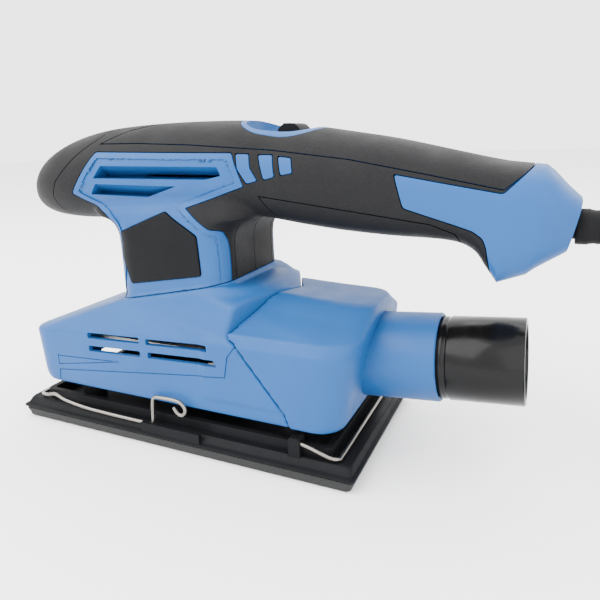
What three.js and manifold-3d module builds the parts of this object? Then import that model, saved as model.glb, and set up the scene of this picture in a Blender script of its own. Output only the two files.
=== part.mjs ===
// Hand-held third-sheet orbital sander with a pistol-shaped body and a dust tube.
// Millimetres. +Z is up, +X runs from the nose to the cord, the origin is the middle of the sole.
import * as THREE from 'three';
import { mergeVertices } from 'three/addons/utils/BufferGeometryUtils.js';
import Module from 'manifold-3d';

const wasm = await Module();
wasm.setup();

// ---- driving dimensions -------------------------------------------------------------------
const GAP = 0.3; // clearance between pieces that touch
const PAD_LENGTH = 187; // sole, the standard third-sheet size
const PAD_WIDTH = 92;
const SOLE_TOP = 5; // foam sole
const FLANGE_TOP = 10.5; // upper face of the platen
const ORBIT = 1; // eccentric offset of the pad's pin from the motor axis
const MOTOR_X = -ORBIT; // motor axis, with the pad centred at rest
const SKIRT_BOTTOM = 22.3; // open lower edge of the base housing
const SKIRT_HALF = 42.6; // half width of the base housing
const WALL = 2.4; // moulded wall
const GRIP = 2; // soft overmould thickness
const POCKET = 1.6; // depth of the vents and of the badges' seats
const BODY_SIDES = 20; // facets round the body
const TUBE_TILT = 4.55 * Math.PI / 180; // dust tube rises to the rear
const TUBE_END = new THREE.Vector3(156.9, 0, 50.7); // middle of the adapter's open end
const OUTLET_RADIUS = 19.9;
const ADAPTER_RADIUS = 18.7;
const CORD_RADIUS = 3.5;
const CORD_EXIT = new THREE.Vector3(213, 0, 107.6); // end of the strain relief
const COIL_CENTRE = new THREE.Vector3(258, 12, 0);
const COIL_RADIUS = 39; // to the middle of the turns
const WIRE_RADIUS = 0.9; // paper clamp wire
const SLIVER = 1e-3; // vertices closer than this are one
const SWITCH_TRAVEL = 8;

// ---- colours ------------------------------------------------------------------------------
const finish = (color, roughness, metalness = 0) => ({ color, roughness, metalness });
const BLUE = finish(0x5f95cf, 0.55);
const SOFT_BLACK = finish(0x3b3b40, 0.8);
const DARK = finish(0x2d2e33, 0.6);
const FOAM = finish(0x3c3d40, 0.9);
const GLOSS_BLACK = finish(0x101114, 0.15);
const STEEL = finish(0xb9b4aa, 0.35, 1);
const LAMINATION = finish(0x70757c, 0.5, 1);
const COPPER = finish(0xb0642f, 0.35, 1);
const BRASS = finish(0xb5923c, 0.35, 1);
const ALLOY = finish(0xa9abae, 0.45, 1);
const RUBBER = finish(0x1c1c1e, 0.85);
const IVORY = finish(0xd8d2c0, 0.6);
const CARBON = finish(0x2a2a2c, 0.7, 0.2);

// ---- helpers ------------------------------------------------------------------------------
const part = new THREE.Group();

function toSolid(geometry) {
  const bare = geometry.index ? geometry.toNonIndexed() : geometry.clone();
  bare.deleteAttribute('normal');
  bare.deleteAttribute('uv');
  const merged = mergeVertices(bare, 1e-4);
  return new wasm.Manifold(new wasm.Mesh({
    numProp: 3,
    vertProperties: new Float32Array(merged.attributes.position.array),
    triVerts: new Uint32Array(merged.index.array),
  }));
}

function toGeometry(solid) {
  const data = solid.getMesh();
  const raw = new THREE.BufferGeometry();
  raw.setAttribute('position', new THREE.BufferAttribute(data.vertProperties, 3));
  raw.setIndex(new THREE.BufferAttribute(data.triVerts, 1));
  const geometry = mergeVertices(raw, SLIVER);
  const corners = geometry.index.array;
  const kept = [];
  for (let k = 0; k < corners.length; k += 3) {
    const [a, b, c] = corners.slice(k, k + 3);
    if (a !== b && b !== c && c !== a) kept.push(a, b, c);
  }
  geometry.setIndex(kept);
  return geometry;
}

function addPiece(name, shape, look, parent = part) {
  const geometry = shape.isBufferGeometry ? shape : toGeometry(shape);
  const mesh = new THREE.Mesh(geometry, new THREE.MeshStandardMaterial(look));
  mesh.name = name;
  parent.add(mesh);
  return mesh;
}

const joined = (solids) => solids.reduce((sum, solid) => sum.add(solid));

// Closed body through matching loops of points, with a fan over each end.
function loft(loops) {
  const count = loops[0].length;
  const ends = [loops[0], loops[loops.length - 1]].map(
    (loop) => loop.reduce((sum, p) => sum.add(p), new THREE.Vector3()).divideScalar(count),
  );
  const points = [...loops.flat(), ...ends];
  const faces = [];
  for (let row = 0; row + 1 < loops.length; row += 1) {
    for (let k = 0; k < count; k += 1) {
      const a = row * count + k;
      const b = row * count + (k + 1) % count;
      faces.push([a, b, a + count], [b, b + count, a + count]);
    }
  }
  const last = (loops.length - 1) * count;
  for (let k = 0; k < count; k += 1) {
    const next = (k + 1) % count;
    faces.push([next, k, points.length - 2], [last + k, last + next, points.length - 1]);
  }
  const volume = faces.reduce((sum, [a, b, c]) => (
    sum + points[a].dot(new THREE.Vector3().crossVectors(points[b], points[c]))), 0);
  const ordered = volume > 0 ? faces : faces.map(([a, b, c]) => [a, c, b]);
  const geometry = new THREE.BufferGeometry().setFromPoints(points);
  geometry.setIndex(ordered.flat());
  return geometry;
}

function box(x0, x1, y0, y1, z0, z1) {
  const geometry = new THREE.BoxGeometry(x1 - x0, y1 - y0, z1 - z0);
  return toSolid(geometry.translate((x0 + x1) / 2, (y0 + y1) / 2, (z0 + z1) / 2));
}

// Upright round bar on (x, y), from z0 to z1.
function post(x, y, radius, z0, z1, sides = 16) {
  const geometry = new THREE.CylinderGeometry(radius, radius, z1 - z0, sides);
  return toSolid(geometry.rotateX(Math.PI / 2).translate(x, y, (z0 + z1) / 2));
}

function ring(x, y, outer, inner, z0, z1, sides = 20) {
  return post(x, y, outer, z0, z1, sides).subtract(post(x, y, inner, z0 - 1, z1 + 1, sides));
}

// Round bar along Y.
function crossBar(x, z, radius, y0, y1, sides = 10) {
  const geometry = new THREE.CylinderGeometry(radius, radius, y1 - y0, sides);
  return toSolid(geometry.translate(x, (y0 + y1) / 2, z));
}

const shapeOf = (outline) => new THREE.Shape(outline.map(([u, v]) => new THREE.Vector2(u, v)));

// Side-view outline (x, z) carried across from y0 to y1.
function sidePrism(outline, y0, y1) {
  const geometry = new THREE.ExtrudeGeometry(shapeOf(outline), { depth: y1 - y0, bevelEnabled: false });
  return toSolid(geometry.rotateX(Math.PI / 2).translate(0, y1, 0));
}

// Plan outline (x, y) carried up from z0 to z1.
function planPrism(outline, z0, z1) {
  const geometry = new THREE.ExtrudeGeometry(shapeOf(outline), { depth: z1 - z0, bevelEnabled: false });
  return toSolid(geometry.translate(0, 0, z0));
}

// Moves each edge of a counter-clockwise outline out by the amount (in, when negative).
function grow(outline, amount) {
  return outline.map(([x, y], k) => {
    const [px, py] = outline[(k + outline.length - 1) % outline.length];
    const [nx, ny] = outline[(k + 1) % outline.length];
    const before = new THREE.Vector2(y - py, px - x).normalize();
    const after = new THREE.Vector2(ny - y, x - nx).normalize();
    const miter = before.clone().add(after);
    miter.multiplyScalar(amount / (1 + before.dot(after)));
    return [x + miter.x, y + miter.y];
  });
}

// Rounded rectangle in plan, from x0 to x1 and -half to half, as an outline of points.
function roundedOutline(x0, x1, half, radius, steps = 3, rearRadius = radius) {
  const corners = [[x1, half, 0], [x0, half, 1], [x0, -half, 2], [x1, -half, 3]];
  return corners.flatMap(([x, y, quarter]) => Array.from({ length: steps + 1 }, (_, k) => {
    const angle = (quarter + k / steps) * Math.PI / 2;
    const r = x === x1 ? rearRadius : radius;
    const middleX = x === x1 ? x1 - r : x0 + r;
    const middleY = y > 0 ? half - r : r - half;
    return [middleX + r * Math.cos(angle), middleY + r * Math.sin(angle)];
  }));
}

// Solid through rounded rectangles, each {z, tilt, x0, x1, half, radius}: z grows by tilt per x,
// and roof is a second slope that the height stays under.
function levelLoft(levels) {
  return toSolid(loft(levels.map(({ z, tilt = 0, x0, x1, half, radius, rear, roof }) => (
    roundedOutline(x0, x1, half, radius, 3, rear).map(([x, y]) => (
      new THREE.Vector3(x, y, Math.min(z + tilt * x, roof ? roof(x) : Infinity))))))));
}

// Round bar that follows points, with a step for each given length along it.
function bar(points, radius, steps, sides = 8, tension = 0.5) {
  const path = new THREE.CatmullRomCurve3(
    points.map((p) => new THREE.Vector3(...p)), false, 'catmullrom', tension);
  const section = Array.from({ length: sides }, (_, k) => {
    const angle = k / sides * 2 * Math.PI;
    return [radius * Math.cos(angle), radius * Math.sin(angle)];
  });
  return new THREE.ExtrudeGeometry(shapeOf(section), { steps, extrudePath: path, bevelEnabled: false });
}

// ---- upper body: nose, handle and tower as one form ----------------------------------------
// [x, top, bottom, half width, squareness] from the nose tip to the cord end
const BODY_SECTIONS = [
  [-96, 121.5, 115.5, 4.5, 2],
  [-94.6, 126.5, 111.4, 12, 2],
  [-91.2, 131.4, 108.8, 19, 2.1],
  [-85, 136.8, 107.2, 25.5, 2.2],
  [-75, 142.6, 106.2, 30.8, 2.3],
  [-61, 147.6, 105.9, 33.4, 2.4],
  [-45, 150.8, 106.6, 34, 2.5],
  [-25, 152.3, 108, 34, 2.6],
  [0, 152.8, 110, 33.6, 2.6],
  [26, 152.4, 110, 32, 2.6],
  [42, 151.2, 108.8, 30.2, 2.6],
  [61, 149, 106.1, 28.6, 2.5],
  [80, 146, 104.1, 27.3, 2.5],
  [100, 142.6, 102.9, 26.4, 2.5],
  [124, 137.2, 102.3, 25.8, 2.7],
  [134, 134.9, 99.2, 25.4, 3],
  [139.4, 133.7, 92.6, 25.2, 3.4],
  [143.4, 132.9, 84.7, 25, 3.6],
  [155.5, 131.4, 87.6, 24.2, 3.6],
  [158.4, 129, 91.2, 23.4, 3.6],
  [164, 123.4, 96.6, 19.5, 3.4],
  [169, 119.4, 99.6, 15.5, 3.2],
];

// The tower in plan, level by level
const TOWER_LEVELS = [
  [60, -35.6, 29.2, 31.2],
  [84, -35.2, 28.6, 31],
  [102, -35, 28.6, 31],
  [106.5, -37, 30.6, 31.4],
  [110, -42, 37, 32],
  [116, -50, 42, 31],
  [126, -50, 42, 26],
];

const signedPower = (value, power) => Math.sign(value) * Math.abs(value) ** power;

function bodySection([x, top, bottom, half, squareness], inset) {
  const middle = (top + bottom) / 2;
  const height = (top - bottom) / 2 - inset;
  return Array.from({ length: BODY_SIDES }, (_, k) => {
    const angle = (k + 0.5) / BODY_SIDES * 2 * Math.PI;
    return new THREE.Vector3(
      x,
      (half - inset) * signedPower(Math.cos(angle), 2 / squareness),
      middle + height * signedPower(Math.sin(angle), 2 / squareness),
    );
  });
}

// The upper body's form, drawn in by the inset all round, with the tower's foot left long.
function bodyForm(inset) {
  const noseLength = 56;
  const sections = BODY_SECTIONS.map(([x, top, bottom, half, squareness]) => {
    const noseX = -40 + (x + 40) * (noseLength - inset) / noseLength;
    const rearX = x > 160 ? x - inset : x;
    const tipTop = x < -94 ? (top + bottom) / 2 + (top - bottom) / 2 + inset * 0.6 : top;
    const tipBottom = x < -94 ? bottom - inset * 0.6 : bottom;
    const tipHalf = x < -94 ? half + inset * 0.6 : half;
    return bodySection([x < -40 ? noseX : rearX, tipTop, tipBottom, tipHalf, squareness], inset);
  });
  const tower = levelLoft(TOWER_LEVELS.map(([z, x0, x1, half]) => (
    { z, x0: x0 + inset, x1: x1 - inset, half: half - inset, radius: 13 - inset })));
  return toSolid(loft(sections)).add(tower);
}

// Everything above the sloping joint with the base housing.
const FOOT_FRONT = 68.6;
const FOOT_REAR = 81.4;
function aboveFoot(lift) {
  const rise = (FOOT_REAR - FOOT_FRONT) / 64;
  const height = (x) => FOOT_FRONT + lift + (x + 35) * rise;
  return sidePrism([[-110, 85], [-60, 85], [-45, height(-45)], [40, height(40)], [60, 82], [200, 82],
    [200, 170], [-110, 170]], -60, 60);
}

// Side-view outlines (x, z) of what stays blue on each flank
const PANEL = [[-52, 121.5], [-34, 111.6], [-33.4, 108], [-36, 60], [27.8, 60], [27.5, 105],
  [23, 105.9], [11, 115.4], [41.5, 125.1], [36.5, 138.6], [-35.5, 140.2]];
const STRIPES = [
  [[43.4, 126.3], [48.1, 127.5], [44.2, 138], [38.7, 138.2]],
  [[51.2, 127.9], [55.7, 129], [54.5, 137.5], [48.7, 137.6]],
  [[58.8, 129.7], [63.6, 130.5], [62.6, 136.2], [57.4, 136.8]],
];
const TAIL = [[108.8, 117.2], [136.8, 108.5], [139.6, 105], [142, 88.8], [142.6, 80], [180, 80], [180, 124],
  [164, 140], [153.9, 132.2], [144.3, 122.6], [105, 129.5]];
const BADGE = [[-24.1, 78], [16.8, 84.6], [16.1, 102.9], [0.2, 113.4], [-27.3, 103], [-28.7, 91]];
const VENTS = [
  [[-37.4, 128.5], [23.7, 127.9], [31.5, 129.5], [29.9, 133.2], [-32.3, 134.2]],
  [[-41.2, 120.9], [-9.2, 119.9], [8.4, 125], [-36.7, 125.9]],
];
// Soft overmould fields in the same view
const SADDLE = [[-34, 144.1], [-12.5, 143.9], [15.1, 142.7], [53.1, 139.8], [86.9, 135.5],
  [117.2, 129.8], [144.3, 124.4], [153.9, 132.2], [157, 136], [157, 165], [0, 165], [-14, 151.6],
  [-24, 149.3]];
const NOSE = [[-110, 95], [-61.3, 95], [-61.3, 107], [-66, 111.3], [-66.9, 119.8], [-62.7, 126.8],
  [-49, 138.4], [-39.4, 145.8], [-30, 165], [-110, 165]];
const UNDER = [[56, 95], [131, 95], [131, 99], [128, 107], [118.8, 110.7], [48, 120.6], [52, 112]];

const outerBody = bodyForm(0);
const gripBed = bodyForm(GRIP + GAP);
const gripInside = bodyForm(GRIP);
const cavity = bodyForm(GRIP + GAP + WALL);
const flankPrism = (outline, amount = 0) => sidePrism(grow(outline, amount), -50, 50);
const blueFields = (amount) => joined([PANEL, ...STRIPES, TAIL].map((o) => flankPrism(o, amount)));

// Bezel and slot of the slide switch, seen from above
const BEZEL = roundedOutline(30.5, 68.5, 21, 16, 5);
const BEZEL_FLOOR = 145.8;
const BEZEL_BOTTOM = 143.4;
const bezelWell = (amount) => planPrism(grow(BEZEL, amount), BEZEL_BOTTOM - amount, 160);

// Screw bosses that join the two halves: x, z and the half width of the body there
const HALF_SCREWS = [[-70, 124, 28], [76, 124, 24.5], [124, 119, 22.5], [156, 98, 20]];

function halfHousing(side) {
  const gripSpace = box(-130, 210, -70, 70, 0, 190).subtract(blueFields(0)).subtract(gripBed);
  const shell = outerBody.subtract(gripSpace).subtract(cavity);
  const bosses = joined(HALF_SCREWS.map(([x, z, reach]) => crossBar(x, z, 3.8, -reach, reach)));
  const pockets = joined([...VENTS.map((v) => flankPrism(v)), flankPrism(BADGE, GAP)])
    .subtract(bodyForm(POCKET));
  const half = side < 0 ? box(-120, 200, -60, -GAP / 2, 0, 180) : box(-120, 200, GAP / 2, 60, 0, 180);
  const screwHoles = joined(HALF_SCREWS.map(([x, z, reach]) => (
    crossBar(x, z, 1.9, 4 - reach, reach - 3).add(crossBar(x, z, 3.5, reach - 3.4, 60)))));
  const sleeveHole = toSolid(new THREE.CylinderGeometry(5.2, 5.2, 30, 20)
    .rotateZ(Math.PI / 2).translate(170, 0, CORD_EXIT.z + 0.9));
  return shell.add(bosses.intersect(gripBed)).subtract(pockets).subtract(bezelWell(GAP))
    .subtract(screwHoles).subtract(sleeveHole)
    .intersect(aboveFoot(GAP / 2)).intersect(half);
}

// Soft skins: the outer form less its inset, kept inside a field and out of the blue
const softSkin = outerBody.subtract(gripInside).subtract(blueFields(GAP)).subtract(bezelWell(GAP))
  .intersect(aboveFoot(GAP / 2));

function sideGrip(side) {
  const half = side < 0 ? box(-120, 200, -60, -GAP / 2, 0, 180) : box(-120, 200, GAP / 2, 60, 0, 180);
  const heads = joined(HALF_SCREWS.map(([x, z]) => crossBar(x, z, 3.5, 0, 60)));
  return softSkin.subtract(joined([SADDLE, NOSE, UNDER].map((o) => flankPrism(o, GAP))))
    .subtract(heads).intersect(half);
}

function badge(side) {
  const skin = outerBody.subtract(bodyForm(1.2)).intersect(flankPrism(BADGE));
  return skin.intersect(side < 0 ? box(-120, 200, -60, 0, 0, 180) : box(-120, 200, 0, 60, 0, 180));
}

function switchBezel() {
  const well = planPrism(grow(BEZEL, -2.4), BEZEL_FLOOR, 160);
  const slot = box(37.5, 56, -2.4, 2.4, BEZEL_BOTTOM - 1, 160);
  const thumbScoop = crossBar(49, 188.6, 40, -30, 30, 80);
  return outerBody.intersect(bezelWell(0)).subtract(well).subtract(slot).subtract(thumbScoop);
}

// ---- base housing and duct cover -----------------------------------------------------------
// Levels of the base, from its open edge to the tower's foot
function baseForm(inset) {
  const drop = inset > 0 ? 4 : 0;
  return levelLoft([
    { z: SKIRT_BOTTOM - drop, x0: -84.5 + inset, x1: 87 - inset, half: SKIRT_HALF - 0.6 - inset, radius: 11 },
    { z: 27, x0: -87.2 + inset, x1: 88.5 - inset, half: SKIRT_HALF - inset, radius: 12 },
    { z: 55.6 - inset, tilt: 0.058, x0: -89.4 + inset, x1: 89.5 - inset, half: 42 - inset, radius: 12 },
    { z: 73.7 - inset, tilt: 0.17, x0: -42.2 + inset, x1: 50 - inset, half: 34.1 - inset, radius: 11,
      rear: 33 - inset, roof: (x) => 77.5 - 0.04 * x - inset },
    { z: 75.7 - inset, tilt: 0.2, x0: -37 + inset, x1: 44 - inset, half: 33.2 - inset, radius: 11,
      rear: 32 - inset, roof: (x) => 86.4 - 0.17 * x - inset },
  ]).add(ductForm(inset + 0.2).intersect(box(22, 60, -60, 60, 30 - drop, 90)));
}

function ductForm(inset) {
  const drop = inset > 0 ? 4 : 0;
  return levelLoft([
    { z: SKIRT_BOTTOM - drop, x0: 20, x1: 87 - inset, half: 42.9 - inset, radius: 11 },
    { z: 27, x0: 20, x1: 88.5 - inset, half: 43.5 - inset, radius: 12 },
    { z: 57, x0: 20, x1: 93.2 - inset, half: 43.1 - inset, radius: 15 },
    { z: 62 - inset * 0.4, x0: 20, x1: 94.3 - inset, half: 40 - inset, radius: 15 },
    { z: 70.2 - inset * 0.8, tilt: -0.03, x0: 20, x1: 95 - inset, half: 27 - inset, radius: 13 },
    { z: 76 - inset, tilt: -0.04, x0: 20, x1: 94 - inset, half: 17.5 - inset, radius: 9 },
    { z: 78.2 - inset, tilt: -0.057, x0: 20, x1: 91.5 - inset, half: 14 - inset, radius: 8 },
  ]);
}

// The cover's joint: a point on the roof in plan, and a line down and back on the flanks
const COVER_PLAN = [[54, 0], [35, -40], [35, -60], [120, -60], [120, 60], [35, 60], [35, 40]];
const COVER_SIDE = [[68, 15], [120, 15], [120, 110], [30, 110], [32, 62], [40.8, 57], [62.9, 29.4]];
const coverField = (amount) => (
  planPrism(grow(COVER_PLAN, amount), 0, 100).intersect(sidePrism(grow(COVER_SIDE, amount), -60, 60)));

// Pieces along the dust tube's own axis, from `start` to `end` behind the adapter's mouth
function alongTube(geometry) {
  return toSolid(geometry.rotateZ(-Math.PI / 2).rotateY(-TUBE_TILT).translate(...TUBE_END));
}
function tubeLength(radius, start, end, sides = 28) {
  const geometry = new THREE.CylinderGeometry(radius, radius, end - start, sides);
  return alongTube(geometry.translate(0, (start + end) / 2, 0));
}

const POSTS = [[-62, -28], [-62, 28], [62, -29], [62, 29]];
const BRACKET_BOLTS = [[-50, 0], [33, -27], [33, 27]];

function sockets(places, low) {
  return joined(places.map(([x, y]) => post(x, y, 8.4, low, 78))).subtract(
    joined(places.map(([x, y]) => post(x, y, 6.4, low - 1, 50))));
}

function sideSlots() {
  const slots = [
    [[-47, 50.1], [-14, 51.5], [-14, 54.5], [-47, 53.1]],
    [[-47, 43.2], [-14, 44.6], [-14, 47.6], [-47, 46.2]],
    [[-10, 51.4], [25.4, 53], [25, 56], [-10, 54.4]],
    [[-9.5, 44.7], [30, 46.3], [28.4, 49.4], [-9.5, 47.7]],
  ];
  return joined(slots.map((outline) => sidePrism(outline, -60, 60)));
}

const towerWell = (inset) => levelLoft(TOWER_LEVELS.slice(0, 3).map(([z, x0, x1, half]) => (
  { z, x0: x0 + inset, x1: x1 - inset, half: half - inset, radius: 10 })));

function baseHousing() {
  const seamWall = baseForm(0.2).intersect(coverField(GAP + WALL)).subtract(ductForm(WALL + 0.5))
    .intersect(box(-120, 120, -60, 60, SKIRT_BOTTOM + 0.3, 100));
  const shell = baseForm(0).subtract(baseForm(WALL)).add(seamWall);
  const bosses = joined(BRACKET_BOLTS.map(([x, y]) => post(x, y, 3.6, 49.3, 78, 12)));
  const inside = sockets(POSTS.slice(0, 2), 38).add(bosses).intersect(baseForm(1));
  const bolts = joined(BRACKET_BOLTS.map(([x, y]) => post(x, y, 1.9, 40, 57, 12)));
  return shell.add(inside).subtract(bolts).subtract(sideSlots())
    .subtract(towerWell(GRIP + WALL)).subtract(coverField(GAP))
    .subtract(aboveFoot(-GAP / 2).intersect(towerWell(-2)));
}

function ductCover() {
  const shell = ductForm(0).subtract(ductForm(WALL));
  const inside = sockets(POSTS.slice(2), 38).intersect(ductForm(1));
  const outlet = tubeLength(OUTLET_RADIUS, -75, -34.8).subtract(ductForm(WALL));
  return shell.add(inside).intersect(coverField(0)).add(outlet).subtract(tubeLength(17.9, -90, -20));
}

function dustAdapter() {
  const profile = [[16.2, -57], [17.5, -57], [17.5, -34.4], [18.2, -34.4], [18.2, -31.6], [18.7, -31],
    [ADAPTER_RADIUS, 0], [16.2, 0]];
  const points = [...profile, profile[0]].map(([r, y]) => new THREE.Vector2(r, y));
  return alongTube(new THREE.LatheGeometry(points, 28));
}

// ---- pad -----------------------------------------------------------------------------------
function padSlab(levels) {
  return toSolid(loft(levels.map(([z, growth, widthGrowth]) => (
    roundedOutline(-PAD_LENGTH / 2 - growth, PAD_LENGTH / 2 + growth, PAD_WIDTH / 2 + widthGrowth, 1.5, 2)
      .map(([x, y]) => new THREE.Vector3(x, y, z))))));
}

const HUB_RADIUS = 18;
const BEARING_OUTER = 13;
const LUG = { x0: -14, x1: 20, y0: 46.3, y1: 47.6, top: 12.3 };

function platen() {
  const slab = padSlab([[SOLE_TOP + GAP, 2.2, 1.3], [6.6, 3, 2], [FLANGE_TOP, 0, -2.3]]);
  const wall = box(-84, 84, -41, 41, 8, 15.8).subtract(box(-81, 81, -38.4, 38.4, 8, 20));
  const hub = post(0, 0, HUB_RADIUS, 8, 20.4, 32).subtract(post(0, 0, BEARING_OUTER + GAP, 12, 30, 32));
  const halfTurn = (solid) => solid.rotate([0, 0, 180]);
  const lug = box(LUG.x0, LUG.x1, -LUG.y1, -LUG.y0, 6.5, LUG.top);
  const boss = sidePrism([[65, 10], [70.5, 10], [70.5, 18.2], [69.4, 19.3], [66.1, 19.3], [65, 18.2]],
    -44.4, -38.5);
  const wireHole = toSolid(new THREE.CylinderGeometry(1.3, 1.3, 7, 8)
    .rotateZ(Math.PI / 2).translate(69, -42.6, 16.6));
  const ear = boss.subtract(wireHole);
  const recess = post(0, 0, 8, 11.2, 30, 16);
  return joined([slab, wall, hub, lug, halfTurn(lug), ear, halfTurn(ear)]).subtract(recess);
}

const solePad = () => padSlab([[0, 0, 0], [0.8, 0.8, 0.6], [SOLE_TOP, 2.2, 1.3]]);

// Wire clamp: short leg from its ear, across the end of the pad, long leg, lever and its curl
const CLAMP_ROUTE = [
  [-68.2, 42.6, 16.6], [-73.5, 42.8, 15.8], [-84, 43, 12.9], [-87.6, 41.6, 12.2], [-88, 38, 12],
  [-88, -38, 12], [-87.2, -41.4, 12.2], [-80, -44.6, 14], [-73.5, -45, 15.6], [-66.4, -45.2, 13.6],
  [-53, -45.3, 11.9], [-28.7, -45.3, 11.2], [-12, -45.2, 11.1], [-8.6, -45.2, 11.8], [-7.9, -45.2, 14.5],
  [-7, -45.2, 23.4], [-5.6, -45.2, 26], [-2, -45.2, 26.6], [6, -45.2, 26.7], [9.8, -45.2, 25.8],
  [11.9, -45.2, 23.2], [11.4, -45.2, 20.6], [9.2, -45.2, 19.4], [6.9, -45.2, 20.6], [5.4, -45.2, 23],
];
const clampWire = () => bar(CLAMP_ROUTE, WIRE_RADIUS, 60, 5, 0.3);

// ---- motor ---------------------------------------------------------------------------------
const bearingOuter = (x, radius, wall, z0, z1) => ring(x, 0, radius, radius - wall, z0, z1);
const bearingInner = (x, bore, wall, z0, z1) => ring(x, 0, bore + wall, bore, z0, z1, 20);

function armatureShaft() {
  const pin = post(0, 0, 5, 11.8, 24, 20);
  const collar = post(MOTOR_X, 0, 7.5, 22.6, 24, 20);
  return joined([pin, collar, post(MOTOR_X, 0, 6, 24, 45, 20), post(MOTOR_X, 0, 4, 45, 126, 20)]);
}

function counterweight() {
  const disc = post(MOTOR_X, 0, 27, 24.3, 31, 32).intersect(box(-60, -6, -60, 60, 20, 40));
  return disc.add(post(MOTOR_X, 0, 11, 24.3, 31)).subtract(post(MOTOR_X, 0, 6 + GAP, 20, 40, 20));
}

function coolingFan() {
  const bladeAngles = Array.from({ length: 10 }, (_, k) => k / 10 * 360);
  const blade = box(9, 31, -0.8, 0.8, 32, 42.8);
  const blades = joined(bladeAngles.map((angle) => blade.rotate([0, 0, angle])));
  const wheel = joined([blades, post(0, 0, 32, 42.4, 44.2, 30), post(0, 0, 10, 32, 44.2, 20)]);
  return wheel.translate([MOTOR_X, 0, 0]).subtract(post(MOTOR_X, 0, 6 + GAP, 20, 60, 20));
}

function bearingBracket() {
  const plate = planPrism(roundedOutline(-53.2, 39, 33, 8), 46, 49);
  const windows = joined([-1, 1].flatMap((s) => [
    box(-42, -20, s * 18 - 8, s * 18 + 8, 40, 60),
    box(18, 28, s * 14 - 6, s * 14 + 6, 40, 60),
  ]));
  const bolts = joined(BRACKET_BOLTS.map(([x, y]) => post(x, y, 1.9, 40, 60, 12)));
  const boss = post(MOTOR_X, 0, 14, 46, 57, 24);
  return plate.subtract(windows).add(boss).subtract(bolts)
    .subtract(post(MOTOR_X, 0, 11 + GAP, 49, 60)).subtract(post(MOTOR_X, 0, 8, 40, 60));
}

const bracketScrew = (x, y) => post(x, y, 1.5, 45, 56, 10).add(post(x, y, 3, 43.5, 45.7, 10));
const housingScrew = (x, z, reach) => (
  crossBar(x, z, 1.5, 5 - reach, reach - 2).add(crossBar(x, z, 3, reach - 3, reach - 0.8)));

const STACK_LOW = 64;
const STACK_HIGH = 96;

function ringSector(outer, inner, z0, z1, middleDegrees, halfDegrees) {
  const steps = 8;
  const arc = (radius, reverse) => Array.from({ length: steps + 1 }, (_, k) => {
    const t = reverse ? 1 - k / steps : k / steps;
    const angle = (middleDegrees - halfDegrees + 2 * halfDegrees * t) * Math.PI / 180;
    return [MOTOR_X + radius * Math.cos(angle), radius * Math.sin(angle)];
  });
  return planPrism([...arc(outer, false), ...arc(inner, true)], z0, z1);
}

function statorCore() {
  const yoke = ring(MOTOR_X, 0, 23.6, 19.4, STACK_LOW, STACK_HIGH, 28);
  const poles = [0, 180].map((angle) => ringSector(20, 14.5, STACK_LOW, STACK_HIGH, angle, 48));
  return joined([yoke, ...poles]);
}

function fieldCoil(middle) {
  const side = ringSector(18.8, 15, STACK_LOW - 4, STACK_HIGH + 4, middle, 36);
  const ends = [[STACK_LOW - 5.4, STACK_LOW - GAP], [STACK_HIGH + GAP, STACK_HIGH + 5.4]];
  return joined([side, ...ends.map(([z0, z1]) => ringSector(21.5, 15, z0, z1, middle, 86))]);
}

function armatureCore() {
  const slots = joined(Array.from({ length: 10 }, (_, k) => (
    box(10.2, 20, -1, 1, 50, 110).rotate([0, 0, k * 36]))));
  return post(0, 0, 13.9, STACK_LOW, STACK_HIGH, 30).subtract(slots)
    .translate([MOTOR_X, 0, 0]).subtract(post(MOTOR_X, 0, 8.6, 50, 110, 20));
}

function armatureWinding() {
  const spool = [[4.3, 58.6], [12.6, 58.6], [12.6, 63.7], [8.3, 63.7], [8.3, 96.3], [12.6, 96.3],
    [12.6, 101.6], [4.3, 101.6], [4.3, 58.6]].map(([r, z]) => new THREE.Vector2(r, z));
  return new THREE.LatheGeometry(spool, 20).rotateX(Math.PI / 2).translate(MOTOR_X, 0, 0);
}

const BRUSH_Z = 110;
function brushHolder(side) {
  const sleeve = box(-5, 5, 11.6, 25, BRUSH_Z - 4.5, BRUSH_Z + 4.5)
    .subtract(box(-3.4, 3.4, 0, 24, BRUSH_Z - 2.9, BRUSH_Z + 2.9));
  return sleeve.rotate([0, 0, side < 0 ? 180 : 0]).translate([MOTOR_X, 0, 0]);
}
function carbonBrush(side) {
  const block = box(-3, 3, 10.3, 17.4, BRUSH_Z - 2.5, BRUSH_Z + 2.5);
  return block.rotate([0, 0, side < 0 ? 180 : 0]).translate([MOTOR_X, 0, 0]);
}

// ---- switch, wiring and cord entry ----------------------------------------------------------
function switchSlider() {
  const knob = sidePrism([[46.6, BEZEL_FLOOR + GAP], [58.4, BEZEL_FLOOR + GAP], [56, 148.6], [54, 150.3],
    [51.6, 150.3], [49.6, 149.6]], -6, 6);
  return knob.add(box(48, 54, -2, 2, BEZEL_BOTTOM - 1.2, BEZEL_FLOOR + 1));
}

// Tapered sleeve with a flange that the two halves hold
function strainRelief() {
  const length = 45;
  const profile = [[3.9, -19], [8, -19], [8, -16], [4.8, -16], [4.8, 1.3], [6.8, 1.6], [6.6, 12],
    [5, length], [3.9, length], [3.9, -19]].map(([r, y]) => new THREE.Vector2(r, y));
  const geometry = new THREE.LatheGeometry(profile, 16).rotateZ(-Math.PI / 2);
  return geometry.translate(CORD_EXIT.x - length, 0, CORD_EXIT.z + 0.9);
}

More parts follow.
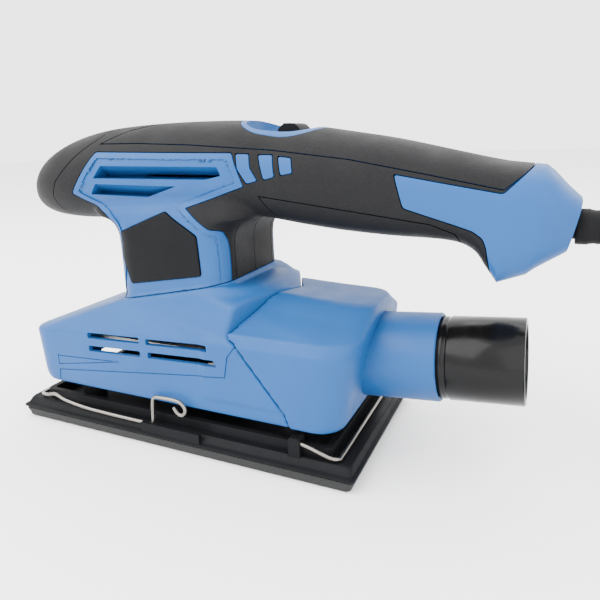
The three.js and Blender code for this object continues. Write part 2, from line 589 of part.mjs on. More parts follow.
// Free stretch of cord: out of the sleeve, down, and onto the top of the coil
const CORD_ROUTE = [
  [151, 0, 108.5], [180, 0, 108.5], [214, 0, 108.3], [228, 0, 106.6], [242, -0.5, 102], [255, -2, 93.5],
  [266, -4.5, 81], [274.5, -8, 66], [281, -12, 50.5], [286.6, -13.4, 37], [291.6, -9.6, 27],
  [295.4, -1, 21.4], [297.2, 9, 19.2], [296.8, 18, 18.9],
];
const COIL_HEIGHT = 14.6;
function coilSolid() {
  const inner = COIL_RADIUS - 11.2;
  const outer = COIL_RADIUS + 11.2;
  const profile = [[inner, 0], [outer, 0], [outer, COIL_HEIGHT], [inner, COIL_HEIGHT], [inner, 0]]
    .map(([r, z]) => new THREE.Vector2(r, z));
  return new THREE.LatheGeometry(profile, 32).rotateX(Math.PI / 2).translate(...COIL_CENTRE);
}
const TAIL_ROUTE = [[204.2, 6, 3.6], [204.6, -8, 3.6], [207.5, -21, 3.6], [213.6, -32.4, 3.6],
  [221.5, -41, 3.6]];

// Moulded plug with two round pins, lying by the coil
const PLUG = { x: 221.9, y: -41.5, z: 7, turn: 138 };
const atPlug = (solid) => solid.rotate([0, 0, PLUG.turn]).translate([PLUG.x, PLUG.y, PLUG.z]);
function plug() {
  const outline = [[-38, -13], [-38, 13], [-30, 13], [-8, 8], [0, 5], [0, -5], [-8, -8], [-30, -13]];
  const body = planPrism(outline.reverse(), -6.8, 6.8);
  const pins = [-9.2, 9.2].map((y) => toSolid(new THREE.CylinderGeometry(2, 2, 22, 10)
    .rotateZ(Math.PI / 2).translate(-46, y, 0)));
  return joined([body, ...pins]).rotate([0, 0, PLUG.turn]).translate([PLUG.x, PLUG.y, PLUG.z]);
}
function cordTie() {
  const inner = COIL_RADIUS - 12.4;
  const outer = COIL_RADIUS + 12.4;
  const band = box(inner, outer, -3, 3, 0.02, COIL_HEIGHT + 1.6)
    .subtract(box(COIL_RADIUS - 11.5, COIL_RADIUS + 11.5, -9, 9, -2, COIL_HEIGHT + GAP));
  return band.rotate([0, 0, 200]).translate([COIL_CENTRE.x, COIL_CENTRE.y, 0]);
}

// ---- assembly ------------------------------------------------------------------------------
for (const [side, label] of [[-1, 'left'], [1, 'right']]) {
  addPiece(`${label}_housing`, halfHousing(side), BLUE);
  addPiece(`${label}_grip`, sideGrip(side), SOFT_BLACK);
  addPiece(`${label}_badge`, badge(side), DARK);
  addPiece(`${label}_brush_holder`, brushHolder(side), BRASS);
  addPiece(`${label}_carbon_brush`, carbonBrush(side), CARBON);
  addPiece(`${label}_field_coil`, fieldCoil(side * 90), COPPER);
}
const fields = { saddle_grip: SADDLE, nose_grip: NOSE, under_grip: UNDER };
for (const [name, field] of Object.entries(fields)) {
  addPiece(name, softSkin.intersect(flankPrism(field)), SOFT_BLACK);
}
addPiece('base_housing', baseHousing(), BLUE);
addPiece('rear_duct_cover', ductCover(), BLUE);
addPiece('dust_adapter', dustAdapter(), GLOSS_BLACK);
POSTS.forEach(([x, y], k) => {
  addPiece(`rubber_post_${k + 1}`, post(x, y, 6, FLANGE_TOP + 0.6, 49.6, 16), RUBBER);
});

addPiece('platen', platen(), DARK);
addPiece('sole_pad', solePad(), FOAM);
addPiece('front_clamp', clampWire(), STEEL);
addPiece('rear_clamp', clampWire().rotateZ(Math.PI), STEEL);
addPiece('pad_bearing_outer', bearingOuter(0, BEARING_OUTER, 2.4, 12.3, 20.3), ALLOY);
addPiece('pad_bearing_inner', bearingInner(0, 5 + GAP, 2.2, 12.3, 20.3), ALLOY);
addPiece('bearing_retainer', ring(0, 0, 16.5, 10.8, 20.7, 22.2), ALLOY);

addPiece('armature_shaft', armatureShaft(), ALLOY);
addPiece('counterweight', counterweight(), ALLOY);
addPiece('cooling_fan', coolingFan(), DARK);
addPiece('armature_core', armatureCore(), LAMINATION);
addPiece('armature_winding', armatureWinding(), COPPER);
addPiece('commutator', ring(MOTOR_X, 0, 10, 4 + GAP, 104.5, 115.5), COPPER);
addPiece('stator_core', statorCore(), LAMINATION);
addPiece('lower_bearing_outer', bearingOuter(MOTOR_X, 11, 2, 49.3, 56.3), ALLOY);
addPiece('lower_bearing_inner', bearingInner(MOTOR_X, 4 + GAP, 1.8, 49.3, 56.3), ALLOY);
addPiece('upper_bearing_outer', bearingOuter(MOTOR_X, 9.5, 1.7, 118.8, 124.8), ALLOY);
addPiece('upper_bearing_inner', bearingInner(MOTOR_X, 4 + GAP, 1.6, 118.8, 124.8), ALLOY);
addPiece('upper_bearing_cup', post(MOTOR_X, 0, 12, 118.8, 129, 20)
  .subtract(post(MOTOR_X, 0, 9.5 + GAP, 100, 127, 20)), RUBBER);
addPiece('bearing_bracket', bearingBracket(), ALLOY);
BRACKET_BOLTS.forEach(([x, y], k) => addPiece(`bracket_screw_${k + 1}`, bracketScrew(x, y), STEEL));
HALF_SCREWS.forEach((place, k) => addPiece(`housing_screw_${k + 1}`, housingScrew(...place), STEEL));

addPiece('switch_bezel', switchBezel(), BLUE);
addPiece('switch_slider', switchSlider(), DARK);
addPiece('switch_body', box(34, 62, -8, 8, 124, BEZEL_BOTTOM - 1.6), RUBBER);
addPiece('terminal_block', box(96, 110, -8, 8, 112, 122), IVORY);
addPiece('cord_clamp', box(142, 148, -9, 9, 112.6, 117), DARK);
addPiece('strain_relief', strainRelief(), RUBBER);
addPiece('cord_tube', bar(CORD_ROUTE, CORD_RADIUS, 30, 8), RUBBER);
addPiece('cord_coil', coilSolid(), RUBBER);
addPiece('cord_tail', bar(TAIL_ROUTE, CORD_RADIUS, 5, 8), RUBBER);
addPiece('cord_tie', cordTie(), DARK);
addPiece('plug', plug(), RUBBER);

export default part;
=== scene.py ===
"""Third-sheet orbital sander: the looks of every piece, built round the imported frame.

Metres throughout. +Z is up, +X runs from the nose to the cord, and the sole's middle is the origin.
"""

import math

import bpy
import numpy as np
from bpy.props import FloatProperty, FloatVectorProperty, PointerProperty
from bpy.types import Operator, Panel, PropertyGroup
from mathutils import Matrix, Vector


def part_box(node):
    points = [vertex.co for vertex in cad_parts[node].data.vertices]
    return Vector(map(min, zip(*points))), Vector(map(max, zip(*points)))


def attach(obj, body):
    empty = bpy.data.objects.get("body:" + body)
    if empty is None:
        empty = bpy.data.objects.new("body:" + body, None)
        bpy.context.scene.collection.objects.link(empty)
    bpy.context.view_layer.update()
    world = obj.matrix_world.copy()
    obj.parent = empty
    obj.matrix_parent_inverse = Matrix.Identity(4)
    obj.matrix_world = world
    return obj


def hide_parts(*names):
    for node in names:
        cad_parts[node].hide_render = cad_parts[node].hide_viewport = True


bl_info = {
    "name": "Orbital Sander",
    "version": (1, 0, 0),
    "blender": (4, 5, 0),
    "location": "View3D > Sidebar > Sander",
    "description": "Builds a third-sheet orbital sander round its packed frame",
    "category": "Object",
}

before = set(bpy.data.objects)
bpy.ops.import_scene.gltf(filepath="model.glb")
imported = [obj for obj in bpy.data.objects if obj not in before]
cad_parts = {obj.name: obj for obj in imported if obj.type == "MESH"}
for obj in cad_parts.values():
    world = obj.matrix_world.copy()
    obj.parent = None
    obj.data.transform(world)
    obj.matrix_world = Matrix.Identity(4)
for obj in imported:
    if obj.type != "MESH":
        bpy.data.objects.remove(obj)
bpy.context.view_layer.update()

MM = 0.001
GROOVE = 0.45  # width of a seam between two moulded pieces, mm
SKIN = 2.0  # soft overmould thickness, mm
WALL = 2.4  # hard moulded wall, mm
TUBE_TILT = math.radians(4.55)
TUBE_END = (156.9, 0.0, 50.7)  # middle of the adapter's mouth, mm
CORD_RADIUS = 3.5
FRONT, REAR, TOP, FAR = -120, 200, 180, 60  # how far along, up and out the cutting shapes reach, mm
INSET_STEP = 0.0009  # step of a surface drawn in from another, metres
SIDES = ((-1, "left"), (1, "right"))


# ---- settings that a user would change ------------------------------------------------------
def colour(label, text, default):
    """A linear colour setting."""
    return FloatVectorProperty(
        name=label, description=text, subtype="COLOR", size=3, min=0, max=1, default=default)


class SanderFinish(PropertyGroup):
    blue: colour("Housing blue", "Colour of the moulded housing", (0.0075, 0.060, 0.195))
    grip: colour("Soft grip", "Colour of the soft overmould", (0.0065, 0.0065, 0.007))
    platen: colour("Platen", "Colour of the platen and other hard dark parts", (0.0045, 0.0047, 0.0055))
    grain: FloatProperty(
        name="Grain size", description="Size of the moulded texture's grains", unit="LENGTH", default=0.0006)


class SanderSizes(PropertyGroup):
    voxel: FloatProperty(
        name="Body step", description="Size of the steps the body's surface is worked out on",
        unit="LENGTH", default=0.0010, min=0.0004)
    wire: FloatProperty(
        name="Clamp wire", description="Diameter of the paper clamps' wire", unit="LENGTH", default=0.0018)


# ---- meshes ---------------------------------------------------------------------------------
def new_piece(name, points_mm, faces):
    """A mesh object from points in millimetres and a list or array of faces."""
    mesh = bpy.data.meshes.new(name)
    mesh.from_pydata((np.asarray(points_mm, float) * MM).tolist(), [], [list(map(int, f)) for f in faces])
    mesh.update()
    piece = bpy.data.objects.new(name, mesh)
    bpy.context.scene.collection.objects.link(piece)
    return piece


def bake(piece):
    """Puts the modifiers' result into the piece's own mesh."""
    graph = bpy.context.evaluated_depsgraph_get()
    mesh = bpy.data.meshes.new_from_object(piece.evaluated_get(graph))
    old = piece.data
    piece.modifiers.clear()
    piece.data = mesh
    mesh.name = piece.name
    bpy.data.meshes.remove(old)
    return piece


def drop(*pieces):
    """Removes shapes that were only needed to cut others."""
    for piece in pieces:
        mesh = piece.data
        bpy.data.objects.remove(piece)
        bpy.data.meshes.remove(mesh)


def copy_of(piece, name):
    """The same shape once more, under another name."""
    twin = bpy.data.objects.new(name, piece.data.copy())
    bpy.context.scene.collection.objects.link(twin)
    return twin


def combine(piece, tool, operation, keep=False):
    """Joins, cuts or crosses two closed shapes. The tool is removed unless it is kept."""
    modifier = piece.modifiers.new(operation.lower(), "BOOLEAN")
    modifier.operation = operation
    modifier.solver = "MANIFOLD"
    modifier.object = tool
    bake(piece)
    if not keep:
        drop(tool)
    return piece


def joined(parts):
    """Several closed shapes made one."""
    whole, *rest = parts
    for part in rest:
        combine(whole, part, "UNION")
    return whole


def outward(points, faces):
    """The faces turned so that the closed shape's signed volume is positive."""
    p = np.asarray(points, float)
    total = sum(np.dot(p[f[0]], np.cross(p[f[k]], p[f[k + 1]])) for f in faces for k in range(1, len(f) - 1))
    return faces if total > 0 else [f[::-1] for f in faces]


def loft_faces(rows, count):
    """Quads between matching closed loops laid one after another, with an end face on each."""
    row, k = np.meshgrid(np.arange(rows - 1), np.arange(count), indexing="ij")
    a = row * count + k
    b = row * count + (k + 1) % count
    quads = np.stack([a, b, b + count, a + count], -1).reshape(-1, 4)
    ends = [np.arange(count)[::-1], (rows - 1) * count + np.arange(count)]
    return [*quads.tolist(), *[e.tolist() for e in ends]]


def loft(name, loops):
    """Closed shape through loops, an array of (row, point, xyz) in millimetres."""
    loops = np.asarray(loops, float)
    rows, count = loops.shape[:2]
    points = loops.reshape(-1, 3)
    return new_piece(name, points, outward(points, loft_faces(rows, count)))


def prism(name, outline, low, high, along="y"):
    """An outline carried straight across: (x, z) along Y, or (x, y) along Z."""
    flat = np.asarray(outline, float)
    level = [np.full(len(flat), v) for v in (low, high)]
    order = (0, 2, 1) if along == "y" else (0, 1, 2)
    loops = [np.stack([flat[:, 0], flat[:, 1], v], 1)[:, order] for v in level]
    return loft(name, loops)


def block(name, x0, x1, y0, y1, z0, z1):
    """A box between limits along each axis."""
    return prism(name, [(x0, y0), (x1, y0), (x1, y1), (x0, y1)], z0, z1, along="z")


def on_side(side, near, far):
    """Two distances from the middle plane as limits along Y, on the left (-1) or the right (1)."""
    return sorted((side * near, side * far))


def grow(outline, amount):
    """Each edge of a counter-clockwise outline moved out by the amount, with mitred corners."""
    p = np.asarray(outline, float)
    before = p - np.roll(p, 1, axis=0)
    after = np.roll(p, -1, axis=0) - p
    before, after = (np.stack([e[:, 1], -e[:, 0]], 1) / np.hypot(*e.T)[:, None] for e in (before, after))
    miter = before + after
    return p + miter * (amount / (1 + (before * after).sum(1)))[:, None]


def rounded_corners(outline, radius, steps=5):
    """The outline with each corner replaced by a quadratic curve that starts radius before it."""
    p = np.asarray(outline, float)
    back, ahead = np.roll(p, 1, axis=0) - p, np.roll(p, -1, axis=0) - p
    size_back, size_ahead = np.hypot(*back.T)[:, None], np.hypot(*ahead.T)[:, None]
    start = p + back / size_back * np.minimum(radius, size_back * 0.45)
    end = p + ahead / size_ahead * np.minimum(radius, size_ahead * 0.45)
    t = np.linspace(0, 1, steps)[None, :, None]
    curve = (1 - t) ** 2 * start[:, None] + 2 * t * (1 - t) * p[:, None] + t ** 2 * end[:, None]
    return curve.reshape(-1, 2)


def rounded_rectangle(x0, x1, half, radius, steps=10, rear=None):
    """Plan outline of a rectangle with round corners, counter-clockwise from the rear right."""
    rear = rear or radius
    angle = np.linspace(0, math.pi / 2, steps)
    parts = []
    for quarter, r in enumerate((rear, radius, radius, rear)):
        cx = x1 - r if quarter in (0, 3) else x0 + r
        cy = half - r if quarter < 2 else r - half
        turn = angle + quarter * math.pi / 2
        parts.append(np.stack([cx + r * np.cos(turn), cy + r * np.sin(turn)], 1))
    return np.concatenate(parts)


def sweep(name, path, radius, sides=16):
    """A round bar along a path: circles set square to the path, turned as little as possible."""
    path = np.asarray(path, float)
    radius = np.broadcast_to(np.asarray(radius, float), (len(path),))
    tangent = np.gradient(path, axis=0)
    tangent /= np.linalg.norm(tangent, axis=1)[:, None]
    nearly_up = (0.0, 0.3, 1.0)
    normals = [np.cross(tangent[0], nearly_up)]
    for t in tangent[1:]:
        n = normals[-1] - t * np.dot(normals[-1], t)
        normals.append(n / np.linalg.norm(n))
    normal = np.array(normals)
    normal /= np.linalg.norm(normal, axis=1)[:, None]
    side = np.cross(tangent, normal)
    angle = np.linspace(0, 2 * math.pi, sides, endpoint=False)
    ring = np.cos(angle)[None, :, None] * normal[:, None] + np.sin(angle)[None, :, None] * side[:, None]
    return loft(name, path[:, None] + ring * radius[:, None, None])


def spin(name, profile, place, sides=64, ring=True):
    """A profile of (radius, height) turned round an axis, then put in place by a function."""
    profile = np.asarray(profile, float)
    angle = np.linspace(0, 2 * math.pi, sides, endpoint=False)
    r, h = profile[:, 0][:, None], profile[:, 1][:, None]
    points = np.stack([r * np.cos(angle), r * np.sin(angle), h + 0 * angle], -1)
    rows = len(profile)
    i, k = np.meshgrid(np.arange(rows if ring else rows - 1), np.arange(sides), indexing="ij")
    a, b = i * sides + k, i * sides + (k + 1) % sides
    c, d = (i + 1) % rows * sides + (k + 1) % sides, (i + 1) % rows * sides + k
    faces = np.stack([a, b, c, d], -1).reshape(-1, 4).tolist()
    if not ring:
        faces += [list(range(sides))[::-1], [(rows - 1) * sides + k for k in range(sides)]]
    flat = place(points.reshape(-1, 3))
    return new_piece(name, flat, outward(flat, faces))


def smooth_rows(rows, steps):
    """A uniform Catmull-Rom curve through rows of numbers of any width, with equal steps between rows."""
    p = np.asarray(rows, float)
    p = np.vstack([2 * p[0] - p[1], p, 2 * p[-1] - p[-2]])
    t = np.linspace(0, 1, steps, endpoint=False)[:, None]
    parts = []
    for a, b, c, d in zip(p[:-3], p[1:-2], p[2:-1], p[3:]):
        parts.append(0.5 * (2 * b + (c - a) * t + (2 * a - 5 * b + 4 * c - d) * t ** 2
                            + (3 * b - a - 3 * c + d) * t ** 3))
    return np.vstack([*parts, p[-2]])


def smooth_curve(points, count):
    """A Catmull-Rom curve through given points, then spaced evenly along its length."""
    dense = smooth_rows(points, 24)
    along = np.concatenate([[0], np.cumsum(np.linalg.norm(np.diff(dense, axis=0), axis=1))])
    even = np.linspace(0, along[-1], count)
    return np.stack([np.interp(even, along, dense[:, k]) for k in range(3)], 1)


def melt(piece, voxel, smoothing):
    """One even skin over a rough shape: voxels of the given size, then relaxed to round its edges."""
    remesh = piece.modifiers.new("remesh", "REMESH")
    remesh.mode = "VOXEL"
    remesh.voxel_size = voxel
    if smoothing:
        relax = piece.modifiers.new("relax", "SMOOTH")
        relax.factor = 0.5
        relax.iterations = smoothing
    return bake(piece)


def inset(piece, name, depth_mm):
    """A copy of a melted shape with every point moved in along its normal."""
    twin = copy_of(piece, name)
    count = len(twin.data.vertices)
    place, normal = np.empty(count * 3), np.empty(count * 3)
    twin.data.vertices.foreach_get("co", place)
    twin.data.vertex_normals.foreach_get("vector", normal)
    twin.data.vertices.foreach_set("co", place - normal * depth_mm * MM)
    twin.data.update()
    return melt(twin, INSET_STEP, 0)


# ---- materials ------------------------------------------------------------------------------
# Depths of the grain on mouldings, of soft cells, of foam's pits and of tool marks, metres
GRAIN_DEPTH, CELL_DEPTH, PIT_DEPTH, MARK_DEPTH = 0.00003, 0.00012, 0.00015, 0.00001


def shader(name, base, roughness, metallic=0.0, **sockets):
    """A new material with its Principled shader set up, and what is needed to add to it."""
    material = bpy.data.materials.new(name)
    material.use_nodes = True
    tree = material.node_tree
    surface = tree.nodes["Principled BSDF"]
    surface.inputs["Base Color"].default_value = (*base, 1)
    surface.inputs["Roughness"].default_value = roughness
    surface.inputs["Metallic"].default_value = metallic
    for socket, value in sockets.items():
        surface.inputs[socket].default_value = value
    return material, tree, surface


def object_noise(tree, scale, detail=2.0, rough=0.5, stretch=(1, 1, 1)):
    """Noise on object coordinates, in grains per metre along each axis."""
    place = tree.nodes.new("ShaderNodeTexCoord")
    turn = tree.nodes.new("ShaderNodeMapping")
    turn.inputs["Scale"].default_value = stretch
    noise = tree.nodes.new("ShaderNodeTexNoise")
    noise.inputs["Scale"].default_value = scale
    noise.inputs["Detail"].default_value = detail
    noise.inputs["Roughness"].default_value = rough
    tree.links.new(place.outputs["Object"], turn.inputs["Vector"])
    tree.links.new(turn.outputs["Vector"], noise.inputs["Vector"])
    return noise.outputs["Fac"]


def vary(tree, surface, socket, value, low, high, start=0.35, end=0.65):
    """Two colours or greys laid over a value, into one of the shader's sockets."""
    node = tree.nodes.new("ShaderNodeValToRGB")
    for stop, place, tone in zip(node.color_ramp.elements, (start, end), (low, high)):
        stop.position = place
        stop.color = (*tone, 1)
    tree.links.new(value, node.inputs["Fac"])
    tree.links.new(node.outputs["Color"], surface.inputs[socket])


def bump(tree, surface, height, depth, strength=1.0):
    """A height in metres turned into a disturbed normal."""
    node = tree.nodes.new("ShaderNodeBump")
    node.inputs["Distance"].default_value = depth
    node.inputs["Strength"].default_value = strength
    tree.links.new(height, node.inputs["Height"])
    tree.links.new(node.outputs["Normal"], surface.inputs["Normal"])


def grey(level):
    """A grey as three channels."""
    return (level, level, level)


def shaded(tone, factor):
    """A colour made darker or lighter."""
    return tuple(channel * factor for channel in tone)


def moulded_plastic(name, base, roughness, grain, depth=GRAIN_DEPTH, spread=0.04, **sockets):
    """Spark-eroded moulded plastic: fine grain, faint cloudy colour and a gloss that varies a little."""
    material, tree, surface = shader(name, base, roughness, **{"Specular IOR Level": 0.2, **sockets})
    clouds = object_noise(tree, 28, 3)
    vary(tree, surface, "Base Color", clouds, shaded(base, 1 - spread), shaded(base, 1 + spread))
    wear = object_noise(tree, 90, 4, 0.6)
    vary(tree, surface, "Roughness", wear, grey(roughness - 0.05), grey(roughness + 0.05))
    bump(tree, surface, object_noise(tree, 0.8 / grain, 2), depth)
    return material


def soft_overmould(name, base, grain):
    """Soft-touch rubber: a leather-like cell grain with a dusty, slightly lighter top to each cell."""
    material, tree, surface = shader(name, base, 0.62, **{"Specular IOR Level": 0.1})
    place = tree.nodes.new("ShaderNodeTexCoord")
    cells = tree.nodes.new("ShaderNodeTexVoronoi")
    cells.inputs["Scale"].default_value = 1 / (grain * 2)
    tree.links.new(place.outputs["Object"], cells.inputs["Vector"])
    speckle = object_noise(tree, 900, 3, 0.7)
    vary(tree, surface, "Base Color", speckle, shaded(base, 0.82), shaded(base, 1.24), 0.3, 0.7)
    vary(tree, surface, "Roughness", object_noise(tree, 45, 4, 0.6), grey(0.56), grey(0.68))
    bump(tree, surface, cells.outputs["Distance"], CELL_DEPTH, 0.5)
    return material


def foam(name, base):
    """Closed-cell foam rubber: small pits over a dull face, with painted shade that darkens the colour in
    the pits.
    """
    material, tree, surface = shader(name, base, 0.88)
    pits_and_painted_shade = object_noise(tree, 1300, 2)
    # painted shade: the noise that sinks the pits also darkens the colour in them and lightens the raised
    # face
    vary(tree, surface, "Base Color", pits_and_painted_shade, shaded(base, 0.7), shaded(base, 1.15))
    bump(tree, surface, pits_and_painted_shade, PIT_DEPTH)
    return material


def gloss_plastic(name, base):
    """Polished plastic with faint turning marks and long soft scuffs."""
    material, tree, surface = shader(name, base, 0.13, **{"Specular IOR Level": 0.14})
    scuffs = object_noise(tree, 160, 5, 0.65, (1, 0.2, 0.2))
    vary(tree, surface, "Roughness", scuffs, grey(0.16), grey(0.28))
    bump(tree, surface, object_noise(tree, 350, 2, 0.5, (1, 0.1, 0.1)), MARK_DEPTH)
    return material


def drawn_metal(name, base, roughness, stretch, tarnish=0.25):
    """Metal with lines from drawing, rolling or turning, and a little tarnish in patches."""
    material, tree, surface = shader(name, base, roughness, 1.0)
    patches = object_noise(tree, 120, 4, 0.6)
    vary(tree, surface, "Base Color", patches, shaded(base, 1 - tarnish), shaded(base, 1.05))
    lines = object_noise(tree, 1500, 2, 0.5, stretch)
    vary(tree, surface, "Roughness", lines, grey(roughness - 0.08), grey(roughness + 0.1))
    bump(tree, surface, lines, MARK_DEPTH)
    return material


MATERIALS = {}
DIM = {"Specular IOR Level": 0.06}  # for the darkest plastics, which hardly shine
RUBBER_BLACK = (0.006, 0.006, 0.0065)


def make_materials(finish):
    """Every finish of the sander, by the name of its slot in the record."""
    blue, grip, platen = tuple(finish.blue), tuple(finish.grip), tuple(finish.platen)
    MATERIALS.update({
        "blue_plastic": moulded_plastic("housing_blue", blue, 0.48, finish.grain),
        "soft_grip": soft_overmould("soft_black", grip, finish.grain),
        "dark_plastic": moulded_plastic("platen_black", platen, 0.5, 0.0007, 0.00005, 0.12, **DIM),
        "gloss_plastic": gloss_plastic("polished_black", (0.003, 0.003, 0.0032)),
        "foam_sole": foam("foam_sole", (0.006, 0.0062, 0.0065)),
        "rubber": moulded_plastic("relief_rubber", RUBBER_BLACK, 0.6, 0.0005, spread=0.1, **DIM),
        "cord_jacket": moulded_plastic("cord_rubber", RUBBER_BLACK, 0.5, 0.0006, spread=0.1, **DIM),
        "switch_plastic": moulded_plastic("insulator_ivory", (0.55, 0.52, 0.45), 0.5, 0.0006),
        "wire_steel": drawn_metal("spring_wire", (0.20, 0.185, 0.165), 0.36, (0.1, 1, 1), 0.12),
        "bearing_steel": drawn_metal("ground_steel", (0.60, 0.61, 0.63), 0.2, (1, 1, 0.1)),
        "screw_steel": drawn_metal("zinc_screw", (0.45, 0.45, 0.46), 0.35, (1, 1, 1)),
        "alloy": drawn_metal("cast_alloy", (0.58, 0.59, 0.60), 0.5, (1, 1, 1)),
        "lamination": drawn_metal("laminations", (0.25, 0.26, 0.28), 0.5, (0.05, 0.05, 1)),
        "copper": drawn_metal("enamelled_copper", (0.72, 0.33, 0.14), 0.3, (0.1, 0.1, 1)),
        "brass": drawn_metal("sheet_brass", (0.72, 0.54, 0.22), 0.3, (1, 0.1, 1)),
        "carbon": moulded_plastic("pressed_carbon", grey(0.03), 0.55, 0.0004, spread=0.1),
    })


def dress(piece, slot, sharp):
    """A slot's material, and smooth shading up to an angle in degrees."""
    piece.data.materials.clear()
    piece.data.materials.append(MATERIALS[slot])
    piece.data.shade_smooth()
    piece.data.set_sharp_from_angle(angle=math.radians(sharp))


def finish_piece(piece, body, slot, nodes=(), sharp=35):
    """A new piece's looks and its place in the frame: its body, its slot and the nodes it stands for."""
    dress(piece, slot, sharp)
    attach(piece, body)
    if nodes:
        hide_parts(*nodes)


# ---- upper body -----------------------------------------------------------------------------
CURVED_SECTIONS = 17  # of the sections below, counted from the nose; straight lines join the rest
# x, top, bottom, half width and squareness of the body's cross-sections, mm
BODY_SECTIONS = [
    (-96, 121.5, 115.5, 4.5, 2), (-94.6, 126.5, 111.4, 12, 2), (-91.2, 131.4, 108.8, 19, 2.1),
    (-85, 136.8, 107.2, 25.5, 2.2), (-75, 142.6, 106.2, 30.8, 2.3), (-61, 147.6, 105.9, 33.4, 2.4),
    (-45, 150.8, 106.6, 34, 2.4), (-25, 152.3, 108, 34, 2.3), (0, 152.8, 110, 33.6, 2.3),
    (26, 152.4, 110, 32, 2.3), (42, 151.2, 108.8, 30.2, 2.3), (61, 149, 106.1, 28.6, 2.3),
    (80, 146, 104.1, 27.3, 2.4), (100, 142.6, 102.9, 26.4, 2.5), (124, 137.2, 102.3, 25.8, 2.7),
    (134, 134.9, 99.2, 25.4, 3), (139.4, 133.7, 92.6, 25.2, 3.4), (143.4, 132.9, 87, 25, 3.6),
    (155.5, 131.4, 91, 24.2, 3.6), (158.4, 129, 93.4, 23.4, 3.6), (164, 123.4, 96.6, 19.5, 3.4),
    (169, 119.4, 99.6, 15.5, 3.2),
]
# z, front, rear and half width of the tower in plan, mm
TOWER_LEVELS = [
    (60, -35.6, 29.2, 31.2), (84, -35.2, 28.6, 31), (98, -35, 28.6, 31), (103, -35.6, 29.6, 31.2),
    (106.5, -37.4, 31.8, 31.4), (109, -41, 36, 31.6), (112, -48, 42, 31.4), (126, -50, 42, 26),
]
TOWER_CORNER = 13
NOSE_FROM, NOSE_LENGTH, TAIL_FROM = -40, 56, 160  # where an inset also draws the body's ends in, mm
LEAN, LEAN_FROM, LEAN_RUN, LEAN_HEIGHT = 0.2, 144, 24, 112  # how the sections lean towards the cord
BODY_ROUNDING = 6  # smoothing steps after the melt
CRISP_FROM = 138  # rearwards of it the tail's facets keep their edges, mm
FOOT_LINE = (-35, 68.6), (29, 81.4)  # the tower's joint with the base in side view, (x, z), mm
CAVITY_DEPTH = SKIN + WALL + 0.3
LINE_DEPTH, LINE_INDENT = 0.6, 2.4  # of the line round the blue panel, mm
SEAT_DEPTH, BADGE_DEPTH, BADGE_CORNER = 1.5, 1.1, 1.2
# Side-view outlines (x, z) of the fields that the flanks are divided into, counter-clockwise, mm
PANEL = [(-52, 121.5), (-34, 111.6), (-30.2, 107), (-29, 100), (-30.4, 84), (-34, 77), (-37, 60), (27.8, 60),
         (27.5, 105), (23, 105.9), (11, 115.4), (41.5, 125.1), (36.5, 138.6), (-35.5, 140.2)]
STRIPES = [
    [(43.4, 126.3), (48.1, 127.5), (45, 132.5), (44.2, 138), (38.7, 138.2), (39.6, 132.2)],
    [(51.2, 127.9), (55.7, 129), (54.5, 137.5), (48.7, 137.6)],
    [(58.8, 129.7), (63.6, 130.5), (62.6, 136.2), (57.4, 136.8)],
]
TAIL = [(108.8, 117.2), (134.6, 109.2), (138.4, 106.6), (139.8, 103), (142, 88.8), (142.6, 80), (180, 80),
        (180, 124), (164, 140), (153.9, 132.2), (144.3, 122.6), (105, 129.5)]
BADGE = [(-24.1, 78), (16.8, 84.6), (16.1, 102.9), (0.2, 113.4), (-27.3, 103), (-28.7, 91)]
VENTS = [
    [(-37.4, 128.5), (23.7, 127.9), (31.5, 129.5), (29.9, 133.2), (-32.3, 134.2)],
    [(-41.2, 120.9), (-9.2, 119.9), (8.4, 125), (-36.7, 125.9)],
]
VENT_SLOT = [(-14, 128.6), (24, 128.2), (27, 129.3), (-12, 129.8)]
SADDLE = [(-34, 144.1), (-12.5, 143.9), (15.1, 142.7), (53.1, 139.8), (86.9, 135.5), (117.2, 129.8),
          (144.3, 124.4), (153.9, 132.2), (157, 136), (157, 165), (0, 165), (-14, 151.6), (-24, 149.3)]
NOSE = [(-110, 95), (-61.3, 95), (-61.3, 107), (-66, 111.3), (-66.9, 119.8), (-62.7, 126.8), (-49, 138.4),
        (-39.4, 145.8), (-30, 165), (-110, 165)]
UNDER = [(56, 95), (131, 95), (131, 99), (128, 107), (118.8, 110.7), (48, 120.6), (52, 112)]
BEZEL = rounded_rectangle(30.5, 68.5, 21, 16)
BEZEL_BOTTOM, BEZEL_FLOOR, BEZEL_TOP, BEZEL_RIM, BEZEL_GAP = 143.4, 145.8, 160, 2.4, 0.25
SWITCH_X = 49  # middle of the switch
SCOOP_RADIUS, SCOOP_Z = 40, 188.6  # of the round bar that hollows the switch's surround for a thumb
SCREWS = [(-70, 124, 28), (76, 124, 24.5), (124, 119, 22.5), (156, 98, 20)]  # x, z and half width there, mm
WELL_RADIUS, WELL_DEPTH = 3.5, 3.4


def body_form(name, inset_mm=0.0):
    """Nose and handle: super-ellipses |y/w|^n + |z/h|^n = 1 along X, drawn in by the inset.

    Towards the cord the sections lean, their upper side to the rear.
    """
    rows = np.vstack([smooth_rows(BODY_SECTIONS[:CURVED_SECTIONS], 5), BODY_SECTIONS[CURVED_SECTIONS:]])
    x, top, bottom, half, square = rows.T[:, :, None]
    nose_x = NOSE_FROM + (x - NOSE_FROM) * (NOSE_LENGTH - inset_mm) / NOSE_LENGTH
    x = np.where(x < NOSE_FROM, nose_x, np.where(x > TAIL_FROM, x - inset_mm, x))
    angle = np.linspace(0, 2 * math.pi, 96, endpoint=False)[None, :]
    turn = [np.sign(f(angle)) * np.abs(f(angle)) ** (2 / square) for f in (np.cos, np.sin)]
    thinnest = 0.5
    y = np.maximum(half - inset_mm, thinnest) * turn[0]
    z = (top + bottom) / 2 + np.maximum((top - bottom) / 2 - inset_mm, thinnest) * turn[1]
    lean = LEAN * np.clip((x - LEAN_FROM) / LEAN_RUN, 0, 1) * (z - LEAN_HEIGHT)
    return loft(name, np.stack([x + lean, y, z], -1))


